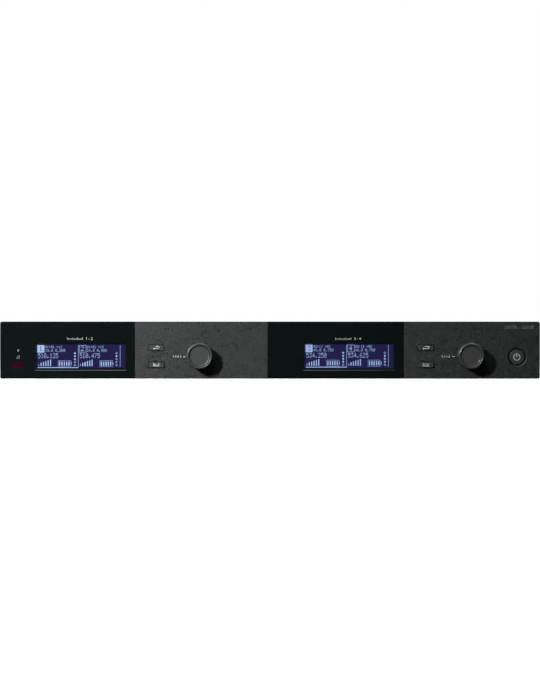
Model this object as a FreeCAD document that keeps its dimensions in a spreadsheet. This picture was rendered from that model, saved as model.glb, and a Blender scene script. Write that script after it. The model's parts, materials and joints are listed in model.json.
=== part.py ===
# A four-channel wireless receiver in a one-unit rack housing, in millimetres.
#
# X runs to the right as the front is seen, Y to the back and Z up. The origin is the
# centre of the housing's underside. Every driving size is a cell of the sheet Size, and
# each piece binds its own sizes and its place to those cells.
import FreeCAD, Part
import math
import os
import re

import Sketcher

V = FreeCAD.Vector

SIZES = [
    # housing
    ("body_width", 393, "front panel, end to end"),
    ("body_height", 41.6, "front panel, bottom to top"),
    ("body_depth", 270, "control face to rear face"),
    ("corner_radius", 1.6, "corners of the front outline"),
    ("edge_round", 0.25, "rounded edges of the control fields"),
    ("bezel_depth", 18, "front moulding, face to rim"),
    ("bezel_wall", 2.5, "rim walls of the front moulding"),
    ("face_wall", 4, "front wall of the moulding"),
    ("sheet_wall", 1.2, "steel sheet"),
    ("side_step", 0.5, "steel inside the front outline, each side"),
    ("top_step", 0.3, "steel below the top of the front"),
    ("lip_height", 11, "side lips of the cover"),
    ("lip_gap", 0.1, "cover lip to tray wall"),
    ("lip_end_gap", 1, "end of a lip to the tray's end walls"),
    ("flange_width", 9, "rear flanges of the tray"),
    ("rear_lip", 7, "lip of the tray under the rear sockets"),
    ("pass_side", 20, "cable opening of the tray, in from each side"),
    ("pass_bottom", 11, "cable opening, lower edge"),
    ("pass_top", 11.3, "cable opening, down from the cover"),
    # windows and displays
    ("left_window_width", 98.1, "left window, from the left end"),
    ("middle_x", -1.5, "left edge of the right window"),
    ("right_window_width", 98.9, "right window"),
    ("window_thick", 2, "window plate"),
    ("window_step", 0.3, "window below the control face"),
    ("window_gap", 0.15, "joint between window and moulding"),
    ("display_width", 64.3, "lit area"),
    ("display_height", 17.35, "lit area"),
    ("display_z", 16.38, "middle of the lit area"),
    ("left_display_in", 58.65, "left end to middle of the left display"),
    ("right_display_in", 59, "right window's left edge to its display"),
    ("bevel_side", 0.9, "bevel at the sides of a display recess"),
    ("bevel_top", 0.8, "bevel over a display"),
    ("bevel_bottom", 1.6, "bevel under a display"),
    ("bevel_depth", 1.2, "depth of the bevel"),
    ("glass_margin", 2.5, "display glass beyond the lit area"),
    ("glass_gap", 0.2, "display glass to the opening it sits in"),
    ("frame_margin", 1.5, "light box beyond the glass"),
    ("lamp_margin", 0.6, "light well beyond the lit area"),
    ("lamp_depth", 4, "light well"),
    # infrared port
    ("ir_in", 13, "left end to middle of the infrared window"),
    ("ir_z", 10.2, "middle of the infrared window"),
    ("ir_width", 8.6, "infrared window"),
    ("ir_height", 4.7, "infrared window"),
    ("ir_corner", 0.7, "corners of the infrared window"),
    ("ir_gap", 0.05, "infrared window to its opening"),
    ("ir_sunk", 0.4, "infrared window below the glossy window"),
    ("ir_ledge", 0.7, "seat of the infrared window"),
    ("diode_pitch", 4.2, "between the two diodes"),
    ("diode_base", 3.8, "square base of a diode"),
    ("diode_base_tall", 6.5, "base of a diode above the board"),
    ("diode_radius", 1.5, "dome of a diode"),
    ("diode_tall", 8.8, "tip of a diode above the board"),
    # keys
    ("left_key_in", 81.25, "right window's left edge to the left keys"),
    ("right_key_in", 82.95, "right end to the right keys"),
    ("exit_z", 22.5, "upper keys"),
    ("sync_z", 10.05, "lower keys"),
    ("key_width", 11.2, "key cap"),
    ("key_height", 3.9, "key cap"),
    ("key_corner", 0.6, "corners of a key cap"),
    ("key_gap", 0.5, "key cap to its opening"),
    ("key_proud", 1.2, "key cap in front of the control face"),
    ("key_flange", 1, "flange of a key beyond its opening, and its thickness"),
    ("key_seat", 0.1, "flange to the back of the wall"),
    ("stem_radius", 1.6, "stem of a key"),
    ("stem_gap", 0.15, "stem to the bore of its switch"),
    ("stem_in", 0.6, "stem inside its switch at rest"),
    ("key_travel", 0.5, "travel of a key"),
    ("switch_size", 6.2, "square case of a switch"),
    ("switch_tall", 3.5, "switch above the board"),
    ("switch_bore_spare", 0.5, "bore of a switch beyond the stem's travel"),
    # power button
    ("power_in", 16.8, "right end to the power button"),
    ("power_z", 15.75, "power button"),
    ("power_radius", 5.45, "power button cap"),
    ("power_gap", 0.95, "cap to its hole"),
    ("power_round", 0.6, "rounded edge of the hole"),
    ("power_sunk", 0.8, "cap behind the control face"),
    # dials
    ("left_knob_in", 49.6, "right window's left edge to the left dial"),
    ("right_knob_in", 50.4, "right end to the right dial"),
    ("knob_z", 16.5, "dials"),
    ("knob_radius", 9.4, "dial"),
    ("knob_length", 14, "dial, back to rim"),
    ("knob_gap", 1, "dial to the control face"),
    ("knob_wall", 1.5, "skirt of the dial"),
    ("knob_hollow", 9, "hollow behind the skirt"),
    ("knob_edge", 0.8, "rounded outer edge of the rim"),
    ("knob_rim", 0.3, "flat top of the rim"),
    ("dish_radius", 6.6, "flat of the dished face"),
    ("dish_depth", 1.2, "depth of the dish"),
    ("hub_radius", 5, "hub of the dial"),
    ("knob_bore", 10, "shaft inside the dial"),
    ("shaft_radius", 3, "encoder shaft"),
    ("shaft_gap", 0.05, "running clearance of the shaft"),
    ("bushing_radius", 3.5, "encoder bushing"),
    ("bushing_gap", 0.3, "bushing to the hole in the panel"),
    ("bushing_sunk", 0.5, "bushing behind the control face"),
    ("encoder_width", 12, "encoder case"),
    ("encoder_height", 13, "encoder case"),
    ("encoder_tall", 6.5, "encoder case above the board"),
    ("shaft_in", 3, "shaft inside the encoder case"),
    ("plunger_gap", 0.1, "shaft to the push plunger"),
    ("plunger_thick", 1.6, "push plunger"),
    ("encoder_floor", 1, "floor of the encoder case"),
    # control board and its posts
    ("front_board_in", 11.5, "control face to the control board"),
    ("board_thick", 1.6, "circuit boards"),
    ("front_board_gap", 1.5, "control board to the rim walls"),
    ("boss_radius", 3.2, "screw bosses of the front moulding"),
    ("boss_gap", 0.5, "boss to the notch in the board"),
    ("boss_outer_in", 11.5, "ends to the outer upper bosses"),
    ("boss_inner_in", 126.5, "ends to the inner upper bosses"),
    ("boss_down", 6.6, "top to the upper bosses"),
    ("boss_up", 6.5, "bottom to the lower bosses"),
    ("low_boss_left", 28.5, "lower boss left of the right window's edge"),
    ("low_boss_right", 66.5, "right end to the lower right boss"),
    ("boss_hole_depth", 9, "screw hole in a boss"),
    ("post_top_in", 36.5, "ends to the upper board posts"),
    ("post_low_left", 10.5, "lower post left of the right window's edge"),
    ("post_low_right", 31.5, "right end to the lower right post"),
    ("post_hole_depth", 6, "screw hole in a post"),
    # screws
    ("screw_radius", 1.5, "shank"),
    ("screw_length", 6, "shank"),
    ("screw_gap", 0.05, "shank to its hole"),
    ("head_radius", 2.75, "pan head"),
    ("head_thick", 1.9, "pan head"),
    ("slot_width", 0.7, "arms of the cross recess"),
    ("slot_reach", 1.5, "arms of the cross recess"),
    ("slot_depth", 1.1, "cross recess"),
    ("cover_screw_z", 34, "cover screws"),
    ("cover_screw_in", 20, "front and rear cover screws, in from the tray's ends"),
    # rack ear holes and side vents
    ("ear_hole_radius", 1.65, "holes for the rack ears"),
    ("ear_hole_in", 12, "rim of the front moulding to the first holes"),
    ("ear_spacing_y", 40, "ear holes, front to back"),
    ("ear_z", 18, "middle of the ear holes"),
    ("ear_spacing_z", 16, "ear holes, bottom to top"),
    ("vent_width", 2.5, "vent slot"),
    ("vent_height", 16, "vent slot"),
    ("vent_pitch", 5.5, "between vent slots"),
    ("vent_count", 14, "vent slots on each side"),
    ("vent_in", 30, "rear end of the tray to the last slot"),
    # rear sockets
    ("rear_z", 20.8, "middle of the rear sockets"),
    ("output_x", 28, "first balanced output"),
    ("channel_pitch", 46, "between channels"),
    ("jack_offset", 23, "balanced output to its jack"),
    ("antenna_in", 25.5, "ends to the antenna inputs"),
    ("cascade_in", 46, "ends to the cascade outputs"),
    ("inlet_in", 84.5, "right end to the mains inlet"),
    ("xlr_flange_width", 26, "socket flange"),
    ("xlr_flange_height", 31, "socket flange"),
    ("xlr_flange_thick", 2, "socket flange"),
    ("xlr_corner", 3, "corners of the socket flange"),
    ("xlr_radius", 11.8, "socket barrel"),
    ("xlr_depth", 20, "socket barrel behind the panel"),
    ("xlr_bore", 8.1, "socket bore"),
    ("xlr_cup", 14.5, "depth of the open socket"),
    ("xlr_fit", 0.05, "insert and pins to what holds them"),
    ("xlr_insert_thick", 9.5, "insulating insert"),
    ("xlr_pin_radius", 1.2, "contact pin"),
    ("xlr_pin_circle", 3.9, "pins from the socket's axis"),
    ("xlr_pin_rise", 1.33, "upper pins above the axis"),
    ("xlr_pin_sunk", 2.5, "pin tips behind the flange face"),
    ("xlr_tail", 4, "pin tails behind the insert"),
    ("xlr_notch_width", 4.4, "key notch"),
    ("xlr_notch_depth", 6, "key notch"),
    ("xlr_notch_rise", 1.1, "key notch above the bore"),
    ("xlr_screw_x", 9.5, "flange screws from the axis"),
    ("xlr_screw_z", 12, "flange screws from the axis"),
    ("panel_gap", 0.3, "sockets to their panel openings"),
    ("jack_width", 15, "jack case"),
    ("jack_height", 17, "jack case"),
    ("jack_depth", 22, "jack case behind the panel"),
    ("jack_thread", 4.7, "jack bushing"),
    ("jack_proud", 4.8, "bushing behind the housing's rear face"),
    ("jack_bore", 3.25, "jack bore"),
    ("jack_floor", 3, "closed end of the jack case"),
    ("nut_gap", 0.1, "nuts to their threads"),
    ("jack_nut_flats", 13, "jack nut"),
    ("jack_nut_thick", 2.2, "jack nut"),
    ("bnc_thread", 4.75, "antenna socket thread"),
    ("bnc_barrel", 4.82, "antenna socket barrel"),
    ("bnc_neck", 6.4, "thread length outside the panel"),
    ("bnc_proud", 14.5, "antenna socket outside the panel"),
    ("bnc_cavity", 4.05, "open end of the antenna socket"),
    ("bnc_cavity_floor", 5, "floor of the cavity from the panel"),
    ("bnc_flange", 7.2, "inner flange of the antenna socket"),
    ("bnc_flange_thick", 2.5, "inner flange"),
    ("bnc_tail", 3, "solder tail"),
    ("bnc_tail_length", 8.3, "solder tail"),
    ("bnc_lug", 1, "bayonet lug"),
    ("bnc_lug_reach", 5.5, "bayonet lugs from the axis"),
    ("bnc_lug_y", 11.3, "bayonet lugs from the panel"),
    ("bnc_nut_flats", 14, "antenna socket nut"),
    ("bnc_nut_thick", 2.6, "antenna socket nut"),
    ("sleeve_radius", 2.4, "insulator"),
    ("sleeve_proud", 13, "insulator from the panel"),
    ("contact_radius", 1, "centre contact"),
    ("contact_bore", 0.65, "centre contact"),
    ("contact_proud", 12.4, "centre contact from the panel"),
    ("contact_gap", 0.05, "contact to its insulator"),
    ("inlet_flange_width", 48.5, "mains inlet flange"),
    ("inlet_flange_height", 22.5, "mains inlet flange"),
    ("inlet_flange_thick", 2.5, "mains inlet flange"),
    ("inlet_width", 27, "mains inlet case"),
    ("inlet_height", 19.6, "mains inlet case"),
    ("inlet_depth", 21, "mains inlet case behind the panel"),
    ("inlet_cup_width", 24.2, "mains inlet cavity"),
    ("inlet_cup_height", 16.4, "mains inlet cavity"),
    ("inlet_cup_bevel", 4.5, "cut corners of the cavity"),
    ("inlet_cup_depth", 16, "mains inlet cavity"),
    ("inlet_screw_x", 20, "inlet screws from the axis"),
    ("blade_thick", 2, "mains blade"),
    ("blade_width", 4, "mains blade"),
    ("blade_x", 7, "outer blades from the axis"),
    ("blade_low", -1.5, "outer blades"),
    ("blade_high", 2.5, "earth blade"),
    ("blade_proud", 11.5, "blades in the cavity"),
    ("blade_tail", 7, "blade tails behind the case"),
    ("network_width", 33, "network block"),
    ("network_height", 14, "network block"),
    ("network_depth", 18, "network block behind the panel"),
    ("network_proud", 1, "network block behind the housing's rear face"),
    ("network_in", 28, "receiver board's right edge to the network block"),
    ("port_x", 8.1, "ports from the middle of the block"),
    ("port_width", 11.9, "port"),
    ("port_height", 6.8, "port"),
    ("port_drop", 2.6, "bottom of a port below the middle of the block"),
    ("latch_width", 6.2, "latch way of a port"),
    ("latch_drop", 2.2, "latch way of a port"),
    ("port_depth", 15, "port"),
    # inside
    ("standoff_tall", 5, "boards above the floor"),
    ("standoff_flats", 5.5, "hexagon standoff"),
    ("board_side_gap", 3, "boards to the tray walls"),
    ("board_front_gap", 14, "boards behind the front moulding"),
    ("board_rear_gap", 6, "receiver board to the rear panel"),
    ("board_split", 6, "between the two boards"),
    ("board_inset", 6, "screws in from the board edges"),
    ("rear_row_in", 24, "rear standoffs of the receiver board"),
    ("supply_width", 88, "supply board"),
    ("supply_rear_gap", 34, "supply board to the rear panel"),
    ("can_width", 38, "screening can"),
    ("can_length", 62, "screening can"),
    ("can_tall", 8, "screening can"),
    ("can_wall", 0.5, "screening can"),
    ("can_rear_gap", 70, "screening can to the rear panel"),
    ("core_width", 36, "transformer core"),
    ("core_length", 32, "transformer core"),
    ("core_tall", 22, "transformer core"),
    ("coil_margin", 3, "winding beyond the core, front and back"),
    ("coil_inset", 6, "winding in from the core's sides and top"),
    ("core_in", 44, "supply board's left edge to the transformer"),
    ("core_rear", 110, "supply board's rear edge to the transformer"),
    ("cap_radius", 8, "capacitor"),
    ("cap_tall", 25, "capacitor"),
    ("cap_edge", 0.8, "rolled edge of a capacitor"),
    ("cap_in", 15, "supply board's left edge to the capacitors"),
    ("cap_pitch", 20, "between capacitors"),
    ("cap_rear", 60, "supply board's rear edge to the first capacitor"),
    ("sink_in", 18, "supply board's right edge to the heat sink"),
    ("sink_rear", 60, "supply board's rear edge to the heat sink"),
    ("sink_length", 60, "heat sink"),
    ("sink_tall", 24, "heat sink"),
    ("sink_base", 3, "heat sink back"),
    ("fin_thick", 1.4, "heat sink fin"),
    ("fin_reach", 11, "heat sink fin"),
    ("fin_count", 8, "heat sink fins"),
    ("ribbon_width", 26, "ribbon cable"),
    ("ribbon_thick", 0.9, "ribbon cable"),
    ("ribbon_bend", 4, "outer bend of a ribbon cable"),
    ("ribbon_z", 20, "ribbon cable at the control board"),
    ("ribbon_left", 60, "left end to the left ribbon"),
    ("ribbon_right", 20, "right ribbon from the right window's left edge"),
    ("ribbon_land", 8, "ribbon on the receiver board, from its front edge"),
    ("lead_radius", 1.25, "antenna leads and mains wires"),
    ("lead_bend", 4, "bends of the leads"),
    ("lead_reach", 12, "leads straight out of the left sockets"),
    ("lead_over", 34, "right leads, over the mains inlet"),
    ("lead_cascade_y", 23, "cascade lead, in from the rear face"),
    ("lead_antenna_y", 28, "antenna lead, in from the rear face"),
    ("lead_land", 6, "right leads' ends, from the receiver board's edge"),
    ("wire_reach", 8, "mains wires straight out of the blades"),
]

doc = FreeCAD.newDocument("receiver")
sheet = doc.addObject("Spreadsheet::Sheet", "Size")
for row, (alias, number, note) in enumerate(SIZES, start=1):
    sheet.set(f"A{row}", alias)
    sheet.set(f"B{row}", str(number))
    sheet.set(f"C{row}", note)
    sheet.setAlias(f"B{row}", alias)
doc.recompute()
ALIASES = {alias for alias, number, note in SIZES}

# Places that follow from the cells
LEFT = "(-body_width / 2)"
RIGHT = "(body_width / 2)"
FRONT = "(-body_depth / 2)"
REAR = "(body_depth / 2)"
BEZEL_BACK = f"({FRONT} + bezel_depth)"
WALL_BACK = f"({FRONT} + face_wall)"
WINDOW_FRONT = f"({FRONT} + window_step)"
WINDOW_BACK = f"({WINDOW_FRONT} + window_thick)"
BOARD_FRONT = f"({FRONT} + front_board_in)"
BOARD_BACK = f"({BOARD_FRONT} + board_thick)"
LEFT_WINDOW_END = f"({LEFT} + left_window_width)"
RIGHT_WINDOW_END = "(middle_x + right_window_width)"
STEEL_LEFT = f"({LEFT} + side_step)"
STEEL_RIGHT = f"({RIGHT} - side_step)"
STEEL_TOP = "(body_height - top_step)"
COVER_UNDER = f"({STEEL_TOP} - sheet_wall)"
REAR_INNER = f"({REAR} - sheet_wall)"
FLANGE_FRONT = f"({REAR_INNER} - sheet_wall)"
DISPLAYS = {"left": f"({LEFT} + left_display_in)", "right": "(middle_x + right_display_in)"}
KEYS = {"left": "(middle_x - left_key_in)", "right": f"({RIGHT} - right_key_in)"}
KNOBS = {"left": "(middle_x - left_knob_in)", "right": f"({RIGHT} - right_knob_in)"}
IR_X = f"({LEFT} + ir_in)"
POWER_X = f"({RIGHT} - power_in)"
KEY_FLANGE_FRONT = "(face_wall + key_seat)"
STEM_END = "(front_board_in - switch_tall + stem_in)"
BOSSES = [
    (f"({LEFT} + boss_outer_in)", "(body_height - boss_down)"),
    (f"({LEFT} + boss_inner_in)", "(body_height - boss_down)"),
    (f"({RIGHT} - boss_inner_in)", "(body_height - boss_down)"),
    (f"({RIGHT} - boss_outer_in)", "(body_height - boss_down)"),
    ("(middle_x - low_boss_left)", "boss_up"),
    (f"({RIGHT} - low_boss_right)", "boss_up"),
]
POSTS = [
    (f"({LEFT} + post_top_in)", "(body_height - boss_down)"),
    (f"({RIGHT} - post_top_in)", "(body_height - boss_down)"),
    ("(middle_x - post_low_left)", "boss_up"),
    (f"({RIGHT} - post_low_right)", "boss_up"),
]
OUTPUTS = [f"(output_x - {channel} * channel_pitch)" for channel in range(4)]
JACKS = [f"({x} - jack_offset)" for x in OUTPUTS]
ANTENNAS = {
    "antenna_socket_a": f"({LEFT} + antenna_in)",
    "cascade_socket_a": f"({LEFT} + cascade_in)",
    "cascade_socket_b": f"({RIGHT} - cascade_in)",
    "antenna_socket_b": f"({RIGHT} - antenna_in)",
}
INLET_X = f"({RIGHT} - inlet_in)"
BOARD_UNDER = "(sheet_wall + standoff_tall)"
BOARD_TOP = f"({BOARD_UNDER} + board_thick)"
BOARDS_FRONT = f"({BEZEL_BACK} + board_front_gap)"
SUPPLY_RIGHT = f"({STEEL_RIGHT} - sheet_wall - board_side_gap)"
SUPPLY_LEFT = f"({SUPPLY_RIGHT} - supply_width)"
SUPPLY_REAR = f"({REAR} - supply_rear_gap)"
MAIN_LEFT = f"({STEEL_LEFT} + sheet_wall + board_side_gap)"
MAIN_RIGHT = f"({SUPPLY_LEFT} - board_split)"
MAIN_REAR = f"({REAR_INNER} - board_rear_gap)"
NETWORK_X = f"({MAIN_RIGHT} - network_in)"
NETWORK_Z = f"({BOARD_TOP} + network_height / 2)"
SCREW_HOLE = "(screw_radius + screw_gap)"
REAR_SCREWS = [
    (f"({STEEL_LEFT} + sheet_wall + flange_width / 2)", "(rear_z - xlr_screw_z)"),
    (f"({STEEL_LEFT} + sheet_wall + flange_width / 2)", "(rear_z + xlr_screw_z)"),
    (f"({STEEL_RIGHT} - sheet_wall - flange_width / 2)", "(rear_z - xlr_screw_z)"),
    (f"({STEEL_RIGHT} - sheet_wall - flange_width / 2)", "(rear_z + xlr_screw_z)"),
    (JACKS[0], "((rear_lip + sheet_wall) / 2)"),
    (JACKS[3], "((rear_lip + sheet_wall) / 2)"),
    (INLET_X, "((rear_lip + sheet_wall) / 2)"),
]
XLR_SCREWS = [
    (f"({x} + {side} * xlr_screw_x)", f"(rear_z - {side} * xlr_screw_z)")
    for x in OUTPUTS for side in (-1, 1)
]
INLET_SCREWS = [(f"({INLET_X} + {side} * inlet_screw_x)", "rear_z") for side in (-1, 1)]
TRAY_LENGTH = f"({REAR_INNER} - {BEZEL_BACK})"
COVER_SCREWS = [
    f"({BEZEL_BACK} + cover_screw_in)",
    f"({BEZEL_BACK} + {TRAY_LENGTH} / 2)",
    f"({REAR_INNER} - cover_screw_in)",
]
STANDOFFS = [
    (x, y)
    for x in (
        f"({MAIN_LEFT} + board_inset)",
        f"(({MAIN_LEFT} + {MAIN_RIGHT}) / 2)",
        f"({MAIN_RIGHT} - board_inset)",
    )
    for y in (f"({BOARDS_FRONT} + board_inset)", f"({MAIN_REAR} - rear_row_in)")
] + [
    (x, y)
    for x in (f"({SUPPLY_LEFT} + board_inset)", f"({SUPPLY_RIGHT} - board_inset)")
    for y in (f"({BOARDS_FRONT} + board_inset)", f"({SUPPLY_REAR} - board_inset)")
]

# Ways of working

PLANES = {"XY": "XY_Plane", "XZ": "XZ_Plane", "YZ": "YZ_Plane"}
AHEAD = {"XY": 1, "XZ": -1, "YZ": 1}  # which way a sketch on that plane faces
kept = []


def cells(text):
    """An expression in plain words, with each alias turned into its cell."""
    return re.sub(r"[a-z][a-z0-9_]*", lambda w: f"Size.{w[0]}" if w[0] in ALIASES else w[0], text)


def value(text):
    """What an expression comes to now."""
    return float(sheet.evalExpression(cells(text)))


def bind(thing, **expressions):
    """Binds properties of a document object to the sheet."""
    for name, text in expressions.items():
        thing.setExpression(name.replace("__", "."), cells(text))


def place(thing, x="0", y="0", z="0"):
    """Binds the place of a document object to the sheet."""
    bind(thing, Placement__Base__x=x, Placement__Base__y=y, Placement__Base__z=z)
    return thing


def keep(thing, label=None):
    """Marks an object of the document as a finished piece."""
    thing.Label = label or thing.Label
    kept.append(thing)
    return thing


def new_body(label):
    body = doc.addObject("PartDesign::Body", label)
    body.Label = label
    return body


def rectangle(left, low, right, high, corner=None):
    """The corners of a rectangle, anticlockwise, rounded where corner is given."""
    if corner is None:
        return [(left, low), (right, low), (right, high), (left, high)]
    return [
        (f"{left} + {corner}", low),
        (f"{right} - {corner}", low, corner),
        (right, f"{low} + {corner}"),
        (right, f"{high} - {corner}", corner),
        (f"{right} - {corner}", high),
        (f"{left} + {corner}", high, corner),
        (left, f"{high} - {corner}"),
        (left, f"{low} + {corner}", corner),
    ]


def around(x, y, width, height, corner=None):
    """A rectangle about its middle."""
    return rectangle(
        f"{x} - ({width}) / 2", f"{y} - ({height}) / 2",
        f"{x} + ({width}) / 2", f"{y} + ({height}) / 2", corner,
    )


def hexagon(x, y, flats):
    """A hexagon about its middle, by the width across its flats."""
    half, tip = f"({flats}) / 2", f"({flats}) / sqrt(3)"
    return [
        (f"{x} + {half}", f"{y} - {tip} / 2"),
        (f"{x} + {half}", f"{y} + {tip} / 2"),
        (x, f"{y} + {tip}"),
        (f"{x} - {half}", f"{y} + {tip} / 2"),
        (f"{x} - {half}", f"{y} - {tip} / 2"),
        (x, f"{y} - {tip}"),
    ]


def circle(x, y, radius):
    return {"centre": (x, y), "radius": radius}


def arc_centre(start, end, radius):
    """The centre of an arc that turns left with a positive radius, right with a negative one."""
    chord = end - start
    across = V(-chord.y, chord.x, 0).normalize()
    rise = math.sqrt(max(radius * radius - chord.Length ** 2 / 4, 0))
    return (start + end) / 2 + across * math.copysign(rise, radius)


def draw_circle(sketch, shape):
    x, y = shape["centre"]
    spot = V(value(x), value(y), 0)
    radius = value(shape["radius"])
    index = sketch.addGeometry(Part.Circle(spot, V(0, 0, 1), radius), False)
    fix_point(sketch, index, 3, x, y)
    number = sketch.addConstraint(Sketcher.Constraint("Radius", index, radius))
    sketch.setExpression(f"Constraints[{number}]", cells(shape["radius"]))


def fix_point(sketch, index, end, x, y):
    """Ties one point of a sketch to the sketch's origin."""
    for kind, text in (("DistanceX", x), ("DistanceY", y)):
        tie = Sketcher.Constraint(kind, -1, 1, index, end, value(text))
        number = sketch.addConstraint(tie)
        sketch.setExpression(f"Constraints[{number}]", cells(text))


def draw_outline(sketch, corners):
    """A closed outline. A corner is (x, y), or (x, y, radius) where an arc leads to the next."""
    spots = [V(value(corner[0]), value(corner[1]), 0) for corner in corners]
    ends = []
    for number, corner in enumerate(corners):
        start, end = spots[number], spots[(number + 1) % len(spots)]
        if len(corner) == 2:
            index = sketch.addGeometry(Part.LineSegment(start, end), False)
            ends.append((index, 1, 2))
            continue
        radius = value(corner[2])
        centre = arc_centre(start, end, radius)
        first, last = (start, end) if radius > 0 else (end, start)
        angles = [math.atan2(p.y - centre.y, p.x - centre.x) for p in (first, last)]
        ring = Part.Circle(centre, V(0, 0, 1), abs(radius))
        index = sketch.addGeometry(Part.ArcOfCircle(ring, *angles), False)
        ends.append((index, 1, 2) if radius > 0 else (index, 2, 1))
    for number, (index, start, end) in enumerate(ends):
        following, its_start = ends[(number + 1) % len(ends)][:2]
        sketch.addConstraint(Sketcher.Constraint("Coincident", index, end, following, its_start))
    for (index, start, end), corner in zip(ends, corners):
        fix_point(sketch, index, start, corner[0], corner[1])
        if len(corner) == 3:
            size = abs(value(corner[2]))
            number = sketch.addConstraint(Sketcher.Constraint("Radius", index, size))
            sketch.setExpression(f"Constraints[{number}]", cells(f"abs({corner[2]})"))


def new_sketch(body, plane, height, shapes):
    """A sketch on one of the body's own planes, at a height along the axis across it."""
    sketch = body.newObject("Sketcher::SketchObject", f"{body.Label}_sketch")
    own = [f for f in body.Origin.OriginFeatures if f.Role == PLANES[plane]][0]
    sketch.AttachmentSupport = (own, [""])
    sketch.MapMode = "FlatFace"
    bind(sketch, AttachmentOffset__Base__z=f"{AHEAD[plane]} * ({height})")
    for shape in shapes:
        if isinstance(shape, dict):
            draw_circle(sketch, shape)
        else:
            draw_outline(sketch, shape)
    return sketch


def slab(body, plane, start, end, *shapes):
    """Adds the outlines to a body as one thickness, from start to end along the axis."""
    feature = body.newObject("PartDesign::Pad", f"{body.Label}_pad")
    feature.Profile = new_sketch(body, plane, start, shapes)
    feature.Reversed = (value(end) - value(start)) * AHEAD[plane] < 0
    bind(feature, Length=f"abs(({end}) - ({start}))")
    return feature


def cut(body, plane, start, end, *shapes):
    """Takes the outlines out of a body, from start to end along the axis."""
    feature = body.newObject("PartDesign::Pocket", f"{body.Label}_pocket")
    feature.Profile = new_sketch(body, plane, start, shapes)
    feature.Reversed = (value(end) - value(start)) * AHEAD[plane] > 0
    bind(feature, Length=f"abs(({end}) - ({start}))")
    return feature


def turn(body, corners):
    """Adds an outline of (radius, y) corners, turned about the body's own Y axis."""
    feature = body.newObject("PartDesign::Revolution", f"{body.Label}_turn")
    sketch = new_sketch(body, "XY", "0", [corners])
    feature.Profile = sketch
    feature.ReferenceAxis = (sketch, ["V_Axis"])
    feature.Angle = 360
    return feature


def round_edges(body, feature, picked, radius):
    """Rounds the picked edges of a feature."""
    doc.recompute()
    edges = feature.Shape.Edges
    names = [f"Edge{n}" for n, edge in enumerate(edges, start=1) if picked(edge)]
    finish = body.newObject("PartDesign::Fillet", f"{body.Label}_edges")
    finish.Base = (feature, names)
    bind(finish, Radius=radius)
    return finish


def copies(label, source, spots):
    """Separate copies of one object, as one piece. A spot is (x, y, z, rotation)."""
    links = []
    for number, (x, y, z, rotation) in enumerate(spots, start=1):
        link = doc.addObject("App::Link", f"{label}_{number}")
        link.LinkedObject = source
        link.LinkTransform = False
        link.Placement.Rotation = rotation
        links.append(place(link, x, y, z))
    return collect(label, links)


def collect(label, members):
    """Separate solids that count as one piece."""
    group = doc.addObject("Part::Compound", label)
    group.Links = members
    return keep(group, label)


def tube(label, route, radius, bend):
    """A round tube along straight runs that are joined by tangent arcs."""
    points = [V(*(value(part) for part in point)) for point in route]
    edges, start = [], points[0]
    for here, after in zip(points[1:], points[2:]):
        back, on = (start - here).normalize(), (after - here).normalize()
        reach = value(bend) * math.tan((math.pi - back.getAngle(on)) / 2)
        first, last = here + back * reach, here + on * reach
        inward = (back + on).normalize()
        centre = here + inward * math.hypot(reach, value(bend))
        edges.append(Part.LineSegment(start, first).toShape())
        edges.append(Part.Arc(first, centre - inward * value(bend), last).toShape())
        start = last
    edges.append(Part.LineSegment(start, points[-1]).toShape())
    ring = Part.Circle(points[0], points[1] - points[0], value(radius)).toShape()
    spine = Part.Wire(edges)
    made = doc.addObject("Part::Feature", label)
    made.Shape = spine.makePipeShell([Part.Wire([ring])], True, True)
    return made


NO_TURN = FreeCAD.Rotation()
HEAD_UP = FreeCAD.Rotation(V(1, 0, 0), 90)
HEAD_LEFT = FreeCAD.Rotation(V(0, 0, 1), 90)
HEAD_RIGHT = FreeCAD.Rotation(V(0, 0, 1), -90)


# The front moulding, its windows and the displays


def display_recess(side, grow="0"):
    """The lit area of a display, or a larger rectangle about it."""
    return around(
        DISPLAYS[side], "display_z",
        f"display_width + 2 * ({grow})", f"display_height + 2 * ({grow})",
    )


def key_opening(side, z, grow="0"):
    return around(
        KEYS[side], z, f"key_width + 2 * (key_gap + {grow})",
        f"key_height + 2 * (key_gap + {grow})", "(key_corner + key_gap)",
    )


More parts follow.
